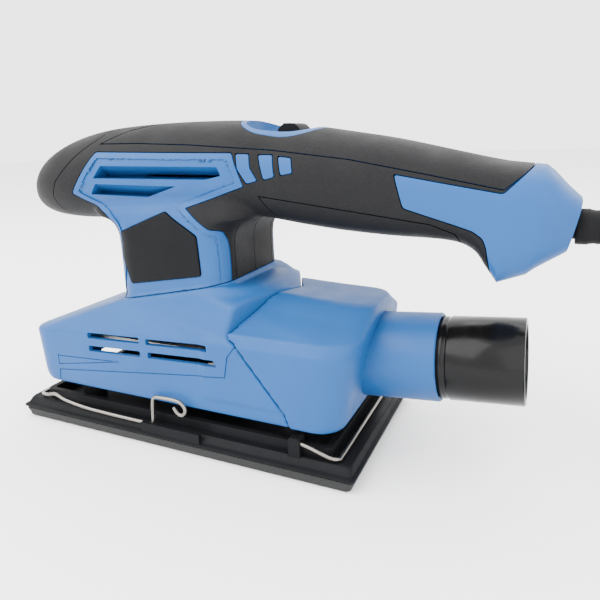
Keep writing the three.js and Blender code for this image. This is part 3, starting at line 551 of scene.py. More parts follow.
def tower_form(name, inset_mm=0.0):
    """The tower: rounded rectangles in plan, flaring into the handle and the nose at the top."""
    loops = []
    for z, front, rear, half in smooth_rows(TOWER_LEVELS, 4):
        plan = rounded_rectangle(front + inset_mm, rear - inset_mm, half - inset_mm, TOWER_CORNER - inset_mm)
        loops.append(np.column_stack([plan, np.full(len(plan), z)]))
    return loft(name, loops)


def above_foot(name, lift=0.0):
    """The space above the sloping joint between the tower and the base housing."""
    (x0, z0), (x1, z1) = FOOT_LINE
    rise = (z1 - z0) / (x1 - x0)
    front, rear = (z0 + lift + (x - x0) * rise for x in (-45, 40))
    outline = [(-110, 85), (-60, 85), (-45, front), (40, rear), (60, 82), (200, 82), (200, 170), (-110, 170)]
    return prism(name, outline, -FAR, FAR)


def across(name, outline, reach=50):
    """An outline (x, z) carried right across the sander."""
    return prism(name, outline, -reach, reach)


def one_side(name, side):
    """All that lies on one side of the middle seam."""
    return block(name, FRONT, REAR, *on_side(side, GROOVE / 2, FAR), 0, TOP)


def wedge(name, outline, side, top_y, bottom_y):
    """A recess whose floor leans in from its upper to its lower edge."""
    flat = np.asarray(outline, float)
    share = (flat[:, 1] - flat[:, 1].min()) / np.ptp(flat[:, 1])
    floor = side * (bottom_y + (top_y - bottom_y) * share)
    mouth = np.full(len(flat), side * 50.0)
    return loft(name, [np.stack([flat[:, 0], y, flat[:, 1]], 1) for y in (mouth, floor)])


def blue_field(name, amount):
    """The panel, the stripes and the tail together, grown by the amount."""
    whole = across(name, rounded_corners(grow(PANEL, amount), 1.0))
    for outline in STRIPES:
        combine(whole, across("stripe", rounded_corners(grow(outline, amount), 0.8)), "UNION")
    return combine(whole, across("tail", rounded_corners(grow(TAIL, amount), 1.2)), "UNION")


def engrave(piece, skin, tool):
    """Cuts the part of a tool that lies in a thin skin, which leaves a groove of even depth."""
    combine(tool, skin, "INTERSECT", keep=True)
    return combine(piece, tool, "DIFFERENCE")


def body_pieces(sizes):
    """The halves, grips, badges and bezel, all cut from one melted form."""
    form = joined([body_form("form"), tower_form("tower"), base_form("foot")])
    melt(form, sizes.voxel, BODY_ROUNDING)
    bed = inset(form, "bed", SKIN)
    skin = combine(copy_of(form, "line_skin"), inset(form, "line_depth", LINE_DEPTH), "DIFFERENCE")
    tail = combine(body_form("tail"), block("end", CRISP_FROM, REAR, -FAR, FAR, 0, TOP), "INTERSECT")
    combine(form, tail, "UNION")
    bezel_hole = prism("bezel_hole", grow(BEZEL, BEZEL_GAP), BEZEL_BOTTOM - 0.3, BEZEL_TOP, along="z")
    grips(form, bed, bezel_hole)
    halves_and_badges(form, bed, bezel_hole, skin)
    bezel_pieces(form)
    drop(form, bed, bezel_hole, skin)


def grips(form, bed, bezel_hole):
    """The soft pieces: what lies between the form and its bed, outside the blue fields."""
    soft = combine(copy_of(form, "soft"), bed, "DIFFERENCE", keep=True)
    combine(soft, blue_field("blue_gap", GROOVE), "DIFFERENCE")
    combine(soft, bezel_hole, "DIFFERENCE", keep=True)
    combine(soft, above_foot("above", GROOVE / 2), "INTERSECT")
    for name, outline in (("saddle_grip", SADDLE), ("nose_grip", NOSE), ("under_grip", UNDER)):
        piece = combine(copy_of(soft, name), across("field", outline), "INTERSECT")
        finish_piece(piece, "housing", "soft_grip", [name])
        combine(soft, across("field", grow(outline, GROOVE)), "DIFFERENCE")
    for side, label in SIDES:
        grip = combine(copy_of(soft, f"{label}_grip"), one_side("half", side), "INTERSECT")
        # a moulded line down the tower's rear face
        tower_line = block("tower_line", 24, 32, *on_side(side, 17.9, 18.4), 70, 112)
        combine(grip, tower_line, "DIFFERENCE")
        if side > 0:
            for x, z, _ in SCREWS:
                combine(grip, screw_well(x, z, 0), "DIFFERENCE")
        finish_piece(grip, "housing", "soft_grip", [f"{label}_grip"])
    drop(soft)


def halves_and_badges(form, bed, bezel_hole, skin):
    """The hollow blue halves, with vents, screw wells and seats, and the badges that fill the seats."""
    hard = combine(copy_of(form, "hard"), blue_field("blue", 0), "INTERSECT")
    combine(hard, bed, "UNION", keep=True)
    cavity = joined([body_form("cavity", CAVITY_DEPTH), tower_form("well", CAVITY_DEPTH)])
    combine(hard, cavity, "DIFFERENCE")
    combine(hard, bezel_hole, "DIFFERENCE", keep=True)
    combine(hard, above_foot("above", GROOVE / 2), "INTERSECT")
    engrave(hard, skin, across("border", rounded_corners(grow(PANEL, -LINE_INDENT), 1.0)))
    seat_floor, badge_back = inset(form, "seat_floor", SEAT_DEPTH), inset(form, "badge_back", BADGE_DEPTH)
    for side, label in SIDES:
        half = combine(copy_of(hard, f"{label}_housing"), one_side("half", side), "INTERSECT")
        cut_vents(half, side, bed)
        seat = across("seat", rounded_corners(grow(BADGE, GROOVE), BADGE_CORNER))
        combine(seat, seat_floor, "DIFFERENCE", keep=True)
        combine(half, seat, "DIFFERENCE")
        if side > 0:
            for x, z, reach in SCREWS:
                combine(half, screw_well(x, z, reach - WELL_DEPTH), "DIFFERENCE")
        finish_piece(half, "housing", "blue_plastic", [f"{label}_housing"])
        badge = across(f"{label}_badge", rounded_corners(BADGE, BADGE_CORNER))
        combine(badge, form, "INTERSECT", keep=True)
        combine(badge, badge_back, "DIFFERENCE", keep=True)
        combine(badge, one_side("half", side), "INTERSECT")
        finish_piece(badge, "housing", "dark_plastic", [f"{label}_badge"])
    drop(hard, seat_floor, badge_back)


def cut_vents(half, side, bed):
    """The panel's pockets, each with a block behind it, and the slot through the upper one."""
    upper_floor, lower_floor = 32.4, 22.5
    for outline in VENTS:
        backing = prism("backing", grow(outline, 1.5), *on_side(side, 18, 30))
        combine(half, combine(backing, bed, "INTERSECT", keep=True), "UNION")
    for outline in VENTS:
        vent = wedge("vent", rounded_corners(outline, 0.6), side, upper_floor, lower_floor)
        combine(half, vent, "DIFFERENCE")
    combine(half, prism("slot", VENT_SLOT, *on_side(side, 10, 40)), "DIFFERENCE")


def ellipse(x, y, wide, tall, count):
    """An ellipse round a point, as an outline."""
    angle = np.linspace(0, 2 * math.pi, count, endpoint=False)
    return np.column_stack([x + wide * np.cos(angle), y + tall * np.sin(angle)])


def screw_well(x, z, low):
    """A round hole along Y, from the given depth out."""
    return prism("screw_well", ellipse(x, z, WELL_RADIUS, WELL_RADIUS, 24), low, FAR)


def bezel_pieces(form):
    """The recessed rim of the slide switch and its ribbed slider."""
    bezel = prism("switch_bezel", BEZEL, BEZEL_BOTTOM, BEZEL_TOP, along="z")
    combine(bezel, form, "INTERSECT", keep=True)
    middle = (SWITCH_X, 0)
    well = grow(BEZEL, -BEZEL_RIM) - middle
    levels = ((162, 1), (BEZEL_FLOOR + 2.6, 1), (BEZEL_FLOOR + 0.8, 0.95), (BEZEL_FLOOR, 0.86))
    loops = [np.column_stack([well * scale + middle, np.full(len(well), z)]) for z, scale in levels]
    combine(bezel, loft("well", loops), "DIFFERENCE")
    scoop = spin("thumb_scoop", [(SCOOP_RADIUS, -30), (SCOOP_RADIUS, 30)],
                 lambda p: p[:, [0, 2, 1]] + (SWITCH_X, 0, SCOOP_Z), 160, ring=False)
    combine(bezel, scoop, "DIFFERENCE")
    combine(bezel, block("slot", 37.5, 56, -2.4, 2.4, 130, 160), "DIFFERENCE")
    finish_piece(bezel, "housing", "blue_plastic", ["switch_bezel"])

    foot = BEZEL_FLOOR + 0.3
    crown = rounded_corners([
        (46.6, foot), (58.4, foot), (57.4, 148.2), (55.6, 149.9), (53, 150.3), (50.2, 150.2), (47.6, 148.6),
    ], 1.6, 6)
    slider = prism("switch_slider", crown, -6, 6)
    combine(slider, block("stem", 48, 54, -2, 2, BEZEL_BOTTOM - 1.2, BEZEL_FLOOR + 1), "UNION")
    for k in range(5):
        rib = ellipse(49.6 + 1.15 * k, 150.05 - 0.05 * k, 0.34, 0.3, 12)
        combine(slider, prism("rib", rib, -5, 5), "UNION")
    finish_piece(slider, "slider", "dark_plastic", ["switch_slider"])


# ---- base, duct and adapter -----------------------------------------------------------------
OPEN = (200, 0)  # a roof too high to matter
SKIRT_LEVELS = 3  # the lowest levels, which an inset doesn't lower
# z, rise per x, front, rear, half width, front and rear corner, and the roof's height and rise, mm
BASE_LEVELS = [
    (22.3, 0, -84.5, 87, 42, 11, 11, OPEN), (24.5, 0, -86.6, 88.2, 42.5, 12, 12, OPEN),
    (27, 0, -87.2, 88.5, 42.6, 12, 12, OPEN), (55.6, 0.058, -89.4, 89.5, 42, 12, 12, OPEN),
    (73.7, 0.17, -42.2, 50, 34.1, 11, 33, (77.5, -0.04)),
    (75.7, 0.2, -37, 44, 33.2, 11, 32, (84.2, -0.135)),
]
DUCT_LEVELS = [
    (22.3, 0, 10, 87, 42.9, 11, 11, OPEN), (24.5, 0, 10, 88.2, 43.4, 12, 12, OPEN),
    (27, 0, 10, 88.5, 43.5, 12, 12, OPEN), (57, 0, 10, 93.2, 43.1, 15, 15, OPEN),
    (62, 0, 10, 94.3, 40, 15, 15, OPEN), (70.2, -0.03, 10, 95, 27, 13, 13, OPEN),
    (76, -0.04, 10, 94, 17.5, 9, 9, OPEN), (78.2, -0.057, 10, 91.5, 14, 8, 8, OPEN),
]
COVER_PLAN = [(54, 0), (35, -40), (35, -60), (120, -60), (120, 60), (35, 60), (35, 40)]
COVER_SIDE = [(68, 15), (120, 15), (120, 110), (30, 110), (32, 62), (40.8, 57), (62.9, 29.4)]
SIDE_SLOTS = [
    [(-47, 50.1), (-14, 51.5), (-14, 54.5), (-47, 53.1)],
    [(-47, 43.2), (-14, 44.6), (-14, 47.6), (-47, 46.2)],
    [(-10, 51.4), (25.4, 53), (25, 56), (-10, 54.4)],
    [(-9.5, 44.7), (30, 46.3), (28.4, 49.4), (-9.5, 47.7)],
]
SLOT_CORNER = 0.8
BASE_ROUNDING = 4  # smoothing steps after the melt
STYLE_LINES = [[(-69.5, 38.5), (-69.5, 33), (-28.5, 40), (-69.5, 37.8)],
               [(-71, 21), (-69.5, 30), (34, 42), (36, 52), (40.5, 58)]]
STYLE_WIDTH, STYLE_DEPTH = 0.55, 0.5
POSTS = [(-62, -28), (-62, 28), (62, -29), (62, 29)]  # under the base, then under the duct cover
SOCKET = [(6.4, 38), (8.4, 38), (8.4, 58), (6.4, 58)]  # radius and height, mm
BORE, OUTLET = 17.9, 19.9  # radii of the dust tube, mm
BELOW = 10  # height that the hollowing shapes start from, under the skirt, mm
STUB_TOP = 95  # the tower's stub is first cut off here, well above its joint, mm
DUCT_SET_BACK = 0.15  # of the duct's form where the base takes it over, mm
SEAM_LAP = 3.5  # how far the passage to the duct reaches past the seam, mm


def plan_loft(name, levels, inset_mm=0.0, low=None):
    """A solid through rounded rectangles whose heights may rise along X, each under a sloping roof."""
    loops = []
    for k, (z, rise, front, rear, half, corner, back, (roof, slope)) in enumerate(levels):
        plan = rounded_rectangle(
            front + inset_mm, rear - inset_mm, half - inset_mm, corner, rear=back - inset_mm)
        height = np.minimum(z + rise * plan[:, 0], roof + slope * plan[:, 0])
        if k >= SKIRT_LEVELS:
            height = height - inset_mm
        if k == 0 and low is not None:
            height = np.full(len(plan), low)
        loops.append(np.column_stack([plan, height]))
    return loft(name, loops)


def base_form(name, inset_mm=0.0, low=None):
    """The base's outer form: its own levels, joined to the duct's form as far as the seam."""
    form = plan_loft(name, BASE_LEVELS, inset_mm, low)
    duct = plan_loft("duct", DUCT_LEVELS, inset_mm + DUCT_SET_BACK, low)
    combine(duct, block("cut", 22, 60, -FAR, FAR, 30, 90), "INTERSECT")
    return combine(form, duct, "UNION")


def tube_place(points):
    """Carries a shape turned round Z onto the dust tube's axis, with Z as the way out."""
    out = np.array([math.cos(TUBE_TILT), 0, math.sin(TUBE_TILT)])
    up = np.array([-math.sin(TUBE_TILT), 0, math.cos(TUBE_TILT)])
    return np.array(TUBE_END) + points[:, 2:] * out + points[:, :1] * (0, 1, 0) + points[:, 1:2] * up


def bar(name, start, end, width):
    """A thin bar right across the sander, along a line drawn in side view."""
    (x0, z0), (x1, z1) = start, end
    size = math.hypot(x1 - x0, z1 - z0)
    u, v = (x1 - x0) / size * width / 2, (z1 - z0) / size * width / 2
    low = [(x0 - u + v, z0 - v - u), (x1 + u + v, z1 + v - u)]
    high = [(x1 + u - v, z1 + v + u), (x0 - u - v, z0 - v + u)]
    return prism(name, low + high, -FAR, FAR)


def stroke(name, line, width):
    """A run of such bars along a bent line."""
    return joined([bar(name, *ends, width) for ends in zip(line[:-1], line[1:])])


def cover_field(name, amount):
    """The duct cover's share of the lower body: a point in plan, a line down and back on the flanks."""
    field = prism(name, grow(COVER_PLAN, amount), 0, 120, along="z")
    return combine(field, across("side", grow(COVER_SIDE, amount), FAR), "INTERSECT")


def sockets(places):
    """Tubes that hold the upper ends of the rubber posts."""
    return joined([spin("socket", SOCKET, lambda p, x=x, y=y: p + (x, y, 0), 32) for x, y in places])


def base_housing(sizes):
    """The skirt with its stub for the tower, its style lines, sockets and cooling slots."""
    base = joined([base_form("base_housing"), tower_form("stub")])
    combine(base, block("above", FRONT, REAR, -FAR, FAR, STUB_TOP, TOP), "DIFFERENCE")
    combine(base, cover_field("cover_gap", GROOVE), "DIFFERENCE")
    melt(base, sizes.voxel, BASE_ROUNDING)
    shell_line = inset(base, "shell_line", STYLE_DEPTH)
    groove = joined([stroke("style", line, STYLE_WIDTH) for line in STYLE_LINES])
    combine(groove, shell_line, "DIFFERENCE")
    combine(base, groove, "DIFFERENCE")
    hollow = base_form("base_inside", WALL, low=BELOW)
    combine(hollow, cover_field("seam_wall", GROOVE + WALL), "DIFFERENCE")
    combine(base, hollow, "DIFFERENCE")
    passage = plan_loft("passage", DUCT_LEVELS, WALL + 0.6, low=BELOW)
    combine(base, combine(passage, cover_field("seam", SEAM_LAP), "INTERSECT"), "DIFFERENCE")
    combine(base, combine(sockets(POSTS[:2]), plan_loft("reach", BASE_LEVELS, 1), "INTERSECT"), "UNION")
    for outline in SIDE_SLOTS:
        combine(base, across("slot", rounded_corners(outline, SLOT_CORNER), FAR), "DIFFERENCE")
    well = [(z, 0, x0, x1, half, 10, 10, OPEN) for z, x0, x1, half in TOWER_LEVELS[:3]]
    combine(base, plan_loft("tower_well", well, SKIN + WALL), "DIFFERENCE")
    combine(base, above_foot("rest", -GROOVE / 2), "DIFFERENCE")
    finish_piece(base, "housing", "blue_plastic", ["base_housing"])


def duct_cover(sizes):
    """The hollow cover with its sockets and the outlet tube."""
    duct = combine(plan_loft("rear_duct_cover", DUCT_LEVELS), cover_field("cover", 0), "INTERSECT")
    melt(duct, sizes.voxel, BASE_ROUNDING)
    profile = [(BORE, -84), (OUTLET, -84), (OUTLET, -35.3), (19.4, -34.8), (18.4, -34.8), (BORE, -35.3)]
    outlet = spin("outlet", profile, tube_place, 96)
    combine(outlet, plan_loft("duct_inside", DUCT_LEVELS, WALL), "DIFFERENCE")
    combine(duct, plan_loft("duct_inside", DUCT_LEVELS, WALL, low=BELOW), "DIFFERENCE")
    inside = combine(sockets(POSTS[2:]), plan_loft("reach", DUCT_LEVELS, 1), "INTERSECT")
    combine(duct, combine(inside, cover_field("cover", -0.3), "INTERSECT"), "UNION")
    combine(duct, spin("bore", [(BORE, -90), (BORE, -20)], tube_place, 96, ring=False), "DIFFERENCE")
    combine(duct, outlet, "UNION")
    finish_piece(duct, "housing", "blue_plastic", ["rear_duct_cover"])


def hose_adapter():
    """The turned adapter: a spigot inside the tube, two steps, and the wide mouth."""
    spigot = [(16.2, -56.6), (16.6, -57), (17.1, -57), (17.5, -56.6), (17.5, -34.2)]
    steps = [(18.0, -34.2), (18.35, -33.9), (18.35, -32.2), (18.0, -31.8), (18.0, -31.2), (18.4, -30.8)]
    mouth = [(18.7, -30.4), (18.7, -0.5), (18.2, 0), (16.7, 0), (16.2, -0.5)]
    adapter = spin("dust_adapter", spigot + steps + mouth, tube_place, 128)
    finish_piece(adapter, "adapter", "gloss_plastic", ["dust_adapter"], 50)


# ---- pad and clamps -------------------------------------------------------------------------
PAD_HALF_LENGTH, PAD_HALF_WIDTH, PAD_CORNER = 93.5, 46, 2.0
EAR = [(65, 10), (70.5, 10), (70.5, 18.2), (69.4, 19.3), (66.1, 19.3), (65, 18.2)]  # holds a clamp's end


def in_place(points):
    """For a shape that is turned round the machine's own axis."""
    return points


def half_turn(points):
    """The same points on the pad's other end, half a turn round Z."""
    return np.asarray(points, float) * (-1, -1, 1)


def pad_slab(name, levels):
    """Rounded rectangles, each level a height with its growth in length and in width."""
    loops = []
    for z, longer, wider in levels:
        x = PAD_HALF_LENGTH + longer
        plan = rounded_rectangle(-x, x, PAD_HALF_WIDTH + wider, PAD_CORNER, 6)
        loops.append(np.column_stack([plan, np.full(len(plan), z)]))
    return loft(name, loops)


def platen_piece():
    """The two-banded platen with its trough, hub, lugs and ears."""
    platen = pad_slab("platen", [
        (5.3, 2.0, 1.1), (5.6, 2.4, 1.4), (6.3, 3.0, 2.0), (6.9, 3.0, 1.9), (7.3, 2.2, 1.0), (7.5, 1.5, 0.3),
        (7.9, 1.4, 0.2), (9.9, 0.6, -1.6), (10.5, 0.0, -2.3)])
    wall = prism("wall", rounded_rectangle(-84, 84, 41, 3), 8, 15.8, along="z")
    combine(wall, prism("trough", rounded_rectangle(-81, 81, 38.4, 2), 8.9, 20, along="z"), "DIFFERENCE")
    combine(platen, wall, "UNION")
    hub = [(13.3, 12), (18, 9), (18, 19.9), (17.5, 20.4), (13.8, 20.4), (13.3, 19.9)]
    combine(platen, spin("hub", hub, in_place, 64), "UNION")
    for turn in (1, -1):
        lug = block("lug", *on_side(turn, -14, 20), *on_side(turn, -47.6, -45.6), 6.5, 12.3)
        combine(platen, lug, "UNION")
        ear = np.multiply(EAR, (turn, 1))
        combine(platen, prism("ear", ear, *on_side(turn, -44.4, -38.5)), "UNION")
        hole = spin("wire_hole", [(1.3, -3.5), (1.3, 3.5)],
                    lambda p, s=turn: p[:, [2, 0, 1]] + (s * 69, s * -42.6, 16.6), 16, ring=False)
        combine(platen, hole, "DIFFERENCE")
    combine(platen, spin("recess", [(8, 11.2), (8, 30)], in_place, 48, ring=False), "DIFFERENCE")
    finish_piece(platen, "pad", "dark_plastic", ["platen"])


def sole_piece():
    """The foam sole, a little wider above than at the paper."""
    sole = pad_slab("sole_pad", [
        (0, -0.4, -0.4), (0.25, 0.3, 0.2), (0.8, 0.8, 0.6), (2.4, 1.0, 0.9), (4.6, 2.2, 1.3),
        (5.0, 2.0, 1.1)])
    finish_piece(sole, "pad", "foam_sole", ["sole_pad"])


# Wire clamp: short leg from its ear, across the end of the pad, long leg, lever and its curl, mm
CLAMP_ROUTE = [
    (-68.2, 42.6, 16.6), (-73.5, 42.8, 15.8), (-84, 43, 12.9), (-87.6, 41.6, 12.2), (-88, 38, 12),
    (-88, 13, 12), (-88, -13, 12), (-88, -38, 12), (-87.2, -41.4, 12.2), (-80, -44.6, 14),
    (-73.5, -45, 15.6), (-66.4, -45.2, 13.6), (-53, -45.3, 11.9), (-40, -45.3, 11.4),
    (-28.7, -45.3, 11.2), (-12, -45.2, 11.1), (-8.6, -45.2, 11.8), (-7.9, -45.2, 14.5),
    (-7, -45.2, 23.4), (-5.6, -45.2, 26), (-2, -45.2, 26.6), (6, -45.2, 26.7), (9.8, -45.2, 25.8),
    (11.9, -45.2, 23.2), (11.4, -45.2, 20.6), (9.2, -45.2, 19.4), (6.9, -45.2, 20.6), (5.4, -45.2, 23),
]


def clamp_pieces(sizes):
    """Both paper clamps, swept along the same bent line, one turned end for end."""
    route = smooth_curve(CLAMP_ROUTE, 360)
    for name, line in (("front_clamp", route), ("rear_clamp", half_turn(route))):
        radius = np.full(len(line), sizes.wire / MM / 2)
        radius[[0, -1]] *= 0.72  # the cut ends are dressed
        piece = sweep(name, line, radius, 16)
        finish_piece(piece, name, "wire_steel", [name], 60)


# ---- cord -----------------------------------------------------------------------------------
CORD_ROUTE = [
    (213, 0, 108.3), (220, 0, 107.9), (228, 0, 106.6), (242, -0.5, 102), (255, -2, 93.5),
    (266, -4.5, 81), (274.5, -8, 66), (281, -12, 50.5), (286.6, -13.4, 37), (291.6, -9.6, 27),
    (295.4, -1, 21.4), (297.2, 9, 19.2),
]
TAIL_ROUTE = [(204.6, -8, 3.7), (207.5, -21, 3.9), (213.6, -32.4, 5.6), (219, -38.6, 6.8), (221.5, -41, 7)]
COIL_CENTRE = (258, 12)
WIDE, MID, TIGHT = 46.2, 39.0, 31.8  # radii of the coil's turns, mm
HIGH, LOW = 11.0, 3.7  # heights of its two layers, mm
# The coil's way round: angle in degrees, radius and height, from the free stretch to the plug's end
COIL_STATIONS = [
    (8, 39.3, 18.9), (80, WIDE, HIGH), (390, WIDE, HIGH), (450, MID, HIGH),
    (750, MID, HIGH), (810, TIGHT, HIGH), (1110, TIGHT, HIGH), (1180, TIGHT, LOW),
    (1470, TIGHT, LOW), (1530, MID, LOW), (1830, MID, LOW), (1890, WIDE, LOW),
    (1940, WIDE, LOW), (1987, 53.6, LOW),
]
TIE_ANGLE = math.radians(200)
SLEEVE_PLACE = (168, 0, 108.5)
PLUG_PLACE, PLUG_TURN = np.array((221.9, -41.5, 7.0)), math.radians(138)
PLUG_STEP = 0.0007  # step of the plug's surface, metres
PIN_Y = 9.2  # half the distance between the pins, mm


def coil_points():
    """Turns of cord in two layers, eased from one station of the coil to the next, in mm."""
    points = []
    for (start, r0, z0), (end, r1, z1) in zip(COIL_STATIONS[:-1], COIL_STATIONS[1:]):
        share = np.linspace(0, 1, max(4, int((end - start) / 6)), endpoint=False)
        ease = share * share * (3 - 2 * share)
        angle = np.radians(start + (end - start) * share)
        radius = r0 + (r1 - r0) * ease
        x, y = COIL_CENTRE[0] + radius * np.cos(angle), COIL_CENTRE[1] + radius * np.sin(angle)
        points.append(np.stack([x, y, z0 + (z1 - z0) * ease], 1))
    return np.concatenate(points)


def cord_points():
    """The whole cord from the sleeve to the plug, one point about every 2 mm."""
    whole = np.vstack([CORD_ROUTE, coil_points()[1:], TAIL_ROUTE])
    return smooth_curve(whole, 900)


def turned(points, angle, to):
    """Points turned round Z by an angle, then moved."""
    x, y = points[:, 0], points[:, 1]
    c, s = math.cos(angle), math.sin(angle)
    return np.stack([c * x - s * y, s * x + c * y, points[:, 2]], 1) + to


def plug_place(points):
    """From the plug's own axes, with its cord end at the origin, to where it lies."""
    return turned(points, PLUG_TURN, PLUG_PLACE)


def moved(piece, place):
    """A piece's own points put through a placing function, in mm."""
    points = np.empty(len(piece.data.vertices) * 3)
    piece.data.vertices.foreach_get("co", points)
    piece.data.vertices.foreach_set("co", (place(points.reshape(-1, 3) / MM) * MM).ravel())
    piece.data.update()
    return piece


def sleeve_piece():
    """The flange in the tail and the ribbed taper round the cord, turned along X."""
    flange = [(3.9, -19), (8, -19), (8, -16), (4.8, -16), (4.8, 1.3), (6.6, 1.5), (6.8, 2), (6.8, 5.5)]
    taper = [(5.0 + 1.6 * (1 - t) - 0.25 * (k % 2), 6 + 39 * t) for k, t in enumerate(np.linspace(0, 1, 23))]
    profile = [*flange, *taper, (3.9, 45)]
    sleeve = spin("strain_relief", profile, lambda p: p[:, [2, 0, 1]] + SLEEVE_PLACE, 48)
    finish_piece(sleeve, "housing", "rubber", ["strain_relief"], 25)
    return sleeve


def plug_pieces():
    """The moulded body, melted smooth, and its two round pins."""
    loops = []
    for x, w, h in ((-38, 11.5, 5.4), (-37.4, 12.6, 6.4), (-36, 13, 6.8), (-30, 13, 6.8), (-20, 10.4, 6.4),
                    (-8, 8, 6.0), (-3, 6.4, 5.4), (-1, 5.0, 4.6), (-0.3, 4.6, 4.2)):
        outline = rounded_corners([(-w, -h), (w, -h), (w, h), (-w, h)], min(w, h) * 0.8, 6)
        loops.append(np.column_stack([np.full(len(outline), x), outline]))
    body = melt(loft("plug", loops), PLUG_STEP, 3)
    moved(body, plug_place)
    finish_piece(body, "housing", "rubber", ["plug"])
    profile = [(2, -39.6), (2, -56), (1.2, -57)]
    pins = joined([
        spin("plug_pins", profile, lambda p, y=y: plug_place(p[:, [2, 0, 1]] + (0, y, 0)), 32, ring=False)
        for y in (-PIN_Y, PIN_Y)])
    finish_piece(pins, "housing", "brass", sharp=30)
    return body, pins


def cord_pieces():
    """The sleeve, the cord, its plug and its tie."""
    sleeve = sleeve_piece()
    points = cord_points()
    cord = sweep("cord", points, CORD_RADIUS, 14)
    finish_piece(cord, "housing", "cord_jacket", ["cord_tube", "cord_coil", "cord_tail"], 60)
    body, pins = plug_pieces()
    tie = strap("cord_tie")
    finish_piece(tie, "housing", "dark_plastic", ["cord_tie"], 30)


def strap(name):
    """A flat band round the coil's cross-section, with round corners."""
    outer = rounded_corners([(26.7, 0.02), (51.3, 0.02), (51.3, 16.1), (26.7, 16.1)], 2.4, 6)
    inner = rounded_corners([(27.6, -1), (50.4, -1), (50.4, 15.2), (27.6, 15.2)], 1.8, 6)
    band = combine(prism(name, outer, -3, 3), prism("inside", inner, -9, 9), "DIFFERENCE")
    return moved(band, lambda p: turned(p, TIE_ANGLE, (*COIL_CENTRE, 0)))


# ---- the rest of the frame ------------------------------------------------------------------
INNER = {
    "brass": ("left_brush_holder", "right_brush_holder"),
    "carbon": ("left_carbon_brush", "right_carbon_brush"),
    "copper": ("left_field_coil", "right_field_coil", "armature_winding", "commutator"),
    "rubber": ("rubber_post_1", "rubber_post_2", "rubber_post_3", "rubber_post_4", "upper_bearing_cup"),
    "bearing_steel": ("pad_bearing_outer", "pad_bearing_inner", "lower_bearing_outer", "lower_bearing_inner",
                      "upper_bearing_outer", "upper_bearing_inner", "armature_shaft", "bearing_retainer"),
    "alloy": ("counterweight", "bearing_bracket"),
    "lamination": ("armature_core", "stator_core"),
    "switch_plastic": ("terminal_block", "switch_body"),
    "dark_plastic": ("cooling_fan", "cord_clamp"),
    "screw_steel": ("bracket_screw_1", "bracket_screw_2", "bracket_screw_3"),
}


def screw_pieces():
    """Each housing screw, from the plane of its head down, with a cross recess."""
    for k, (x, z, _) in enumerate(SCREWS):
        name = f"housing_screw_{k + 1}"
        low, high = (corner.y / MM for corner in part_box(name)[:2])
        head = high - 2.2
        profile = [(1.45, low), (1.45, head), (2.9, head), (2.95, high - 1), (2.4, high - 0.25), (1.6, high)]
        screw = spin(name, profile, lambda p, x=x, z=z: p[:, [0, 2, 1]] + (x, 0, z), 40, ring=False)
        for wide, tall in ((1.7, 0.35), (0.35, 1.7)):
            cross = block("cross", x - wide, x + wide, high - 1.3, high + 1, z - tall, z + tall)
            combine(screw, cross, "DIFFERENCE")
        finish_piece(screw, "housing", "screw_steel", [name])


def dress_inner_nodes():
    """The inner parts keep their own shapes and get their materials."""
    for slot, nodes in INNER.items():
        for name in nodes:
            dress(bpy.data.objects[name], slot, 30)


# ---- stage and camera -----------------------------------------------------------------------
FLOOR_REACH, FLOOR_Z = 4000, -0.2  # mm
WORLD_STRENGTH = 3.4
# name, place and aim in metres, size in metres and power in watts
LAMPS = [
    ("key", (-0.55, -0.75, 1.0), (0.02, 0, 0.07), 1.2, 30),
    ("fill", (0.9, -0.7, 0.6), (0.05, 0, 0.07), 1.2, 10),
    ("top", (0.1, 0.4, 1.3), (0.03, 0, 0.08), 1.4, 20),
]
CAMERA_TURN, CAMERA_LIFT, CAMERA_ROLL = (math.radians(v) for v in (24.88, 16.816, -1.826))
CAMERA_PLACE = (0.15962, -0.23102, 0.14479)  # metres
LENS, SENSOR = 32.61, 36  # mm


def set_stage():
    """A pale seamless floor, and soft studio light from all round."""
    material, tree, surface = shader("studio_floor", grey(0.9), 0.9)
    vary(tree, surface, "Base Color", object_noise(tree, 3, 2), grey(0.885), grey(0.9))
    corners = [(x * FLOOR_REACH, y * FLOOR_REACH, FLOOR_Z) for x, y in ((-1, -1), (1, -1), (1, 1), (-1, 1))]
    floor = new_piece("studio_floor", corners, [(0, 1, 2, 3)])
    floor.data.materials.append(material)
    world = bpy.data.worlds.new("studio")
    world.use_nodes = True
    background = world.node_tree.nodes["Background"]
    background.inputs["Color"].default_value = (1, 1, 1, 1)
    background.inputs["Strength"].default_value = WORLD_STRENGTH
    bpy.context.scene.world = world
    for name, place, aim, size, power in LAMPS:
        light = bpy.data.lights.new(name, "AREA")
        light.energy, light.size = power, size
        lamp = bpy.data.objects.new(name, light)
        lamp.location = place
        lamp.rotation_euler = (Vector(aim) - Vector(place)).to_track_quat("-Z", "Y").to_euler()
        bpy.context.scene.collection.objects.link(lamp)


def set_camera():
    """A camera in front and to the left, a little above the handle, rolled slightly."""
    level = math.cos(CAMERA_LIFT)
    back = Vector((math.sin(CAMERA_TURN) * level, -math.cos(CAMERA_TURN) * level, math.sin(CAMERA_LIFT)))
    right = (-back).cross(Vector((0, 0, 1))).normalized()
    up = right.cross(-back)
    c, s = math.cos(CAMERA_ROLL), math.sin(CAMERA_ROLL)
    right, up = c * right + s * up, -s * right + c * up
    data = bpy.data.cameras.new("view")
    data.lens, data.sensor_width = LENS, SENSOR
    data.dof.use_dof = False
    camera = bpy.data.objects.new("view", data)
    camera.matrix_world = Matrix((right, up, back)).transposed().to_4x4()
    camera.location = CAMERA_PLACE
    bpy.context.scene.collection.objects.link(camera)
    bpy.context.scene.camera = camera


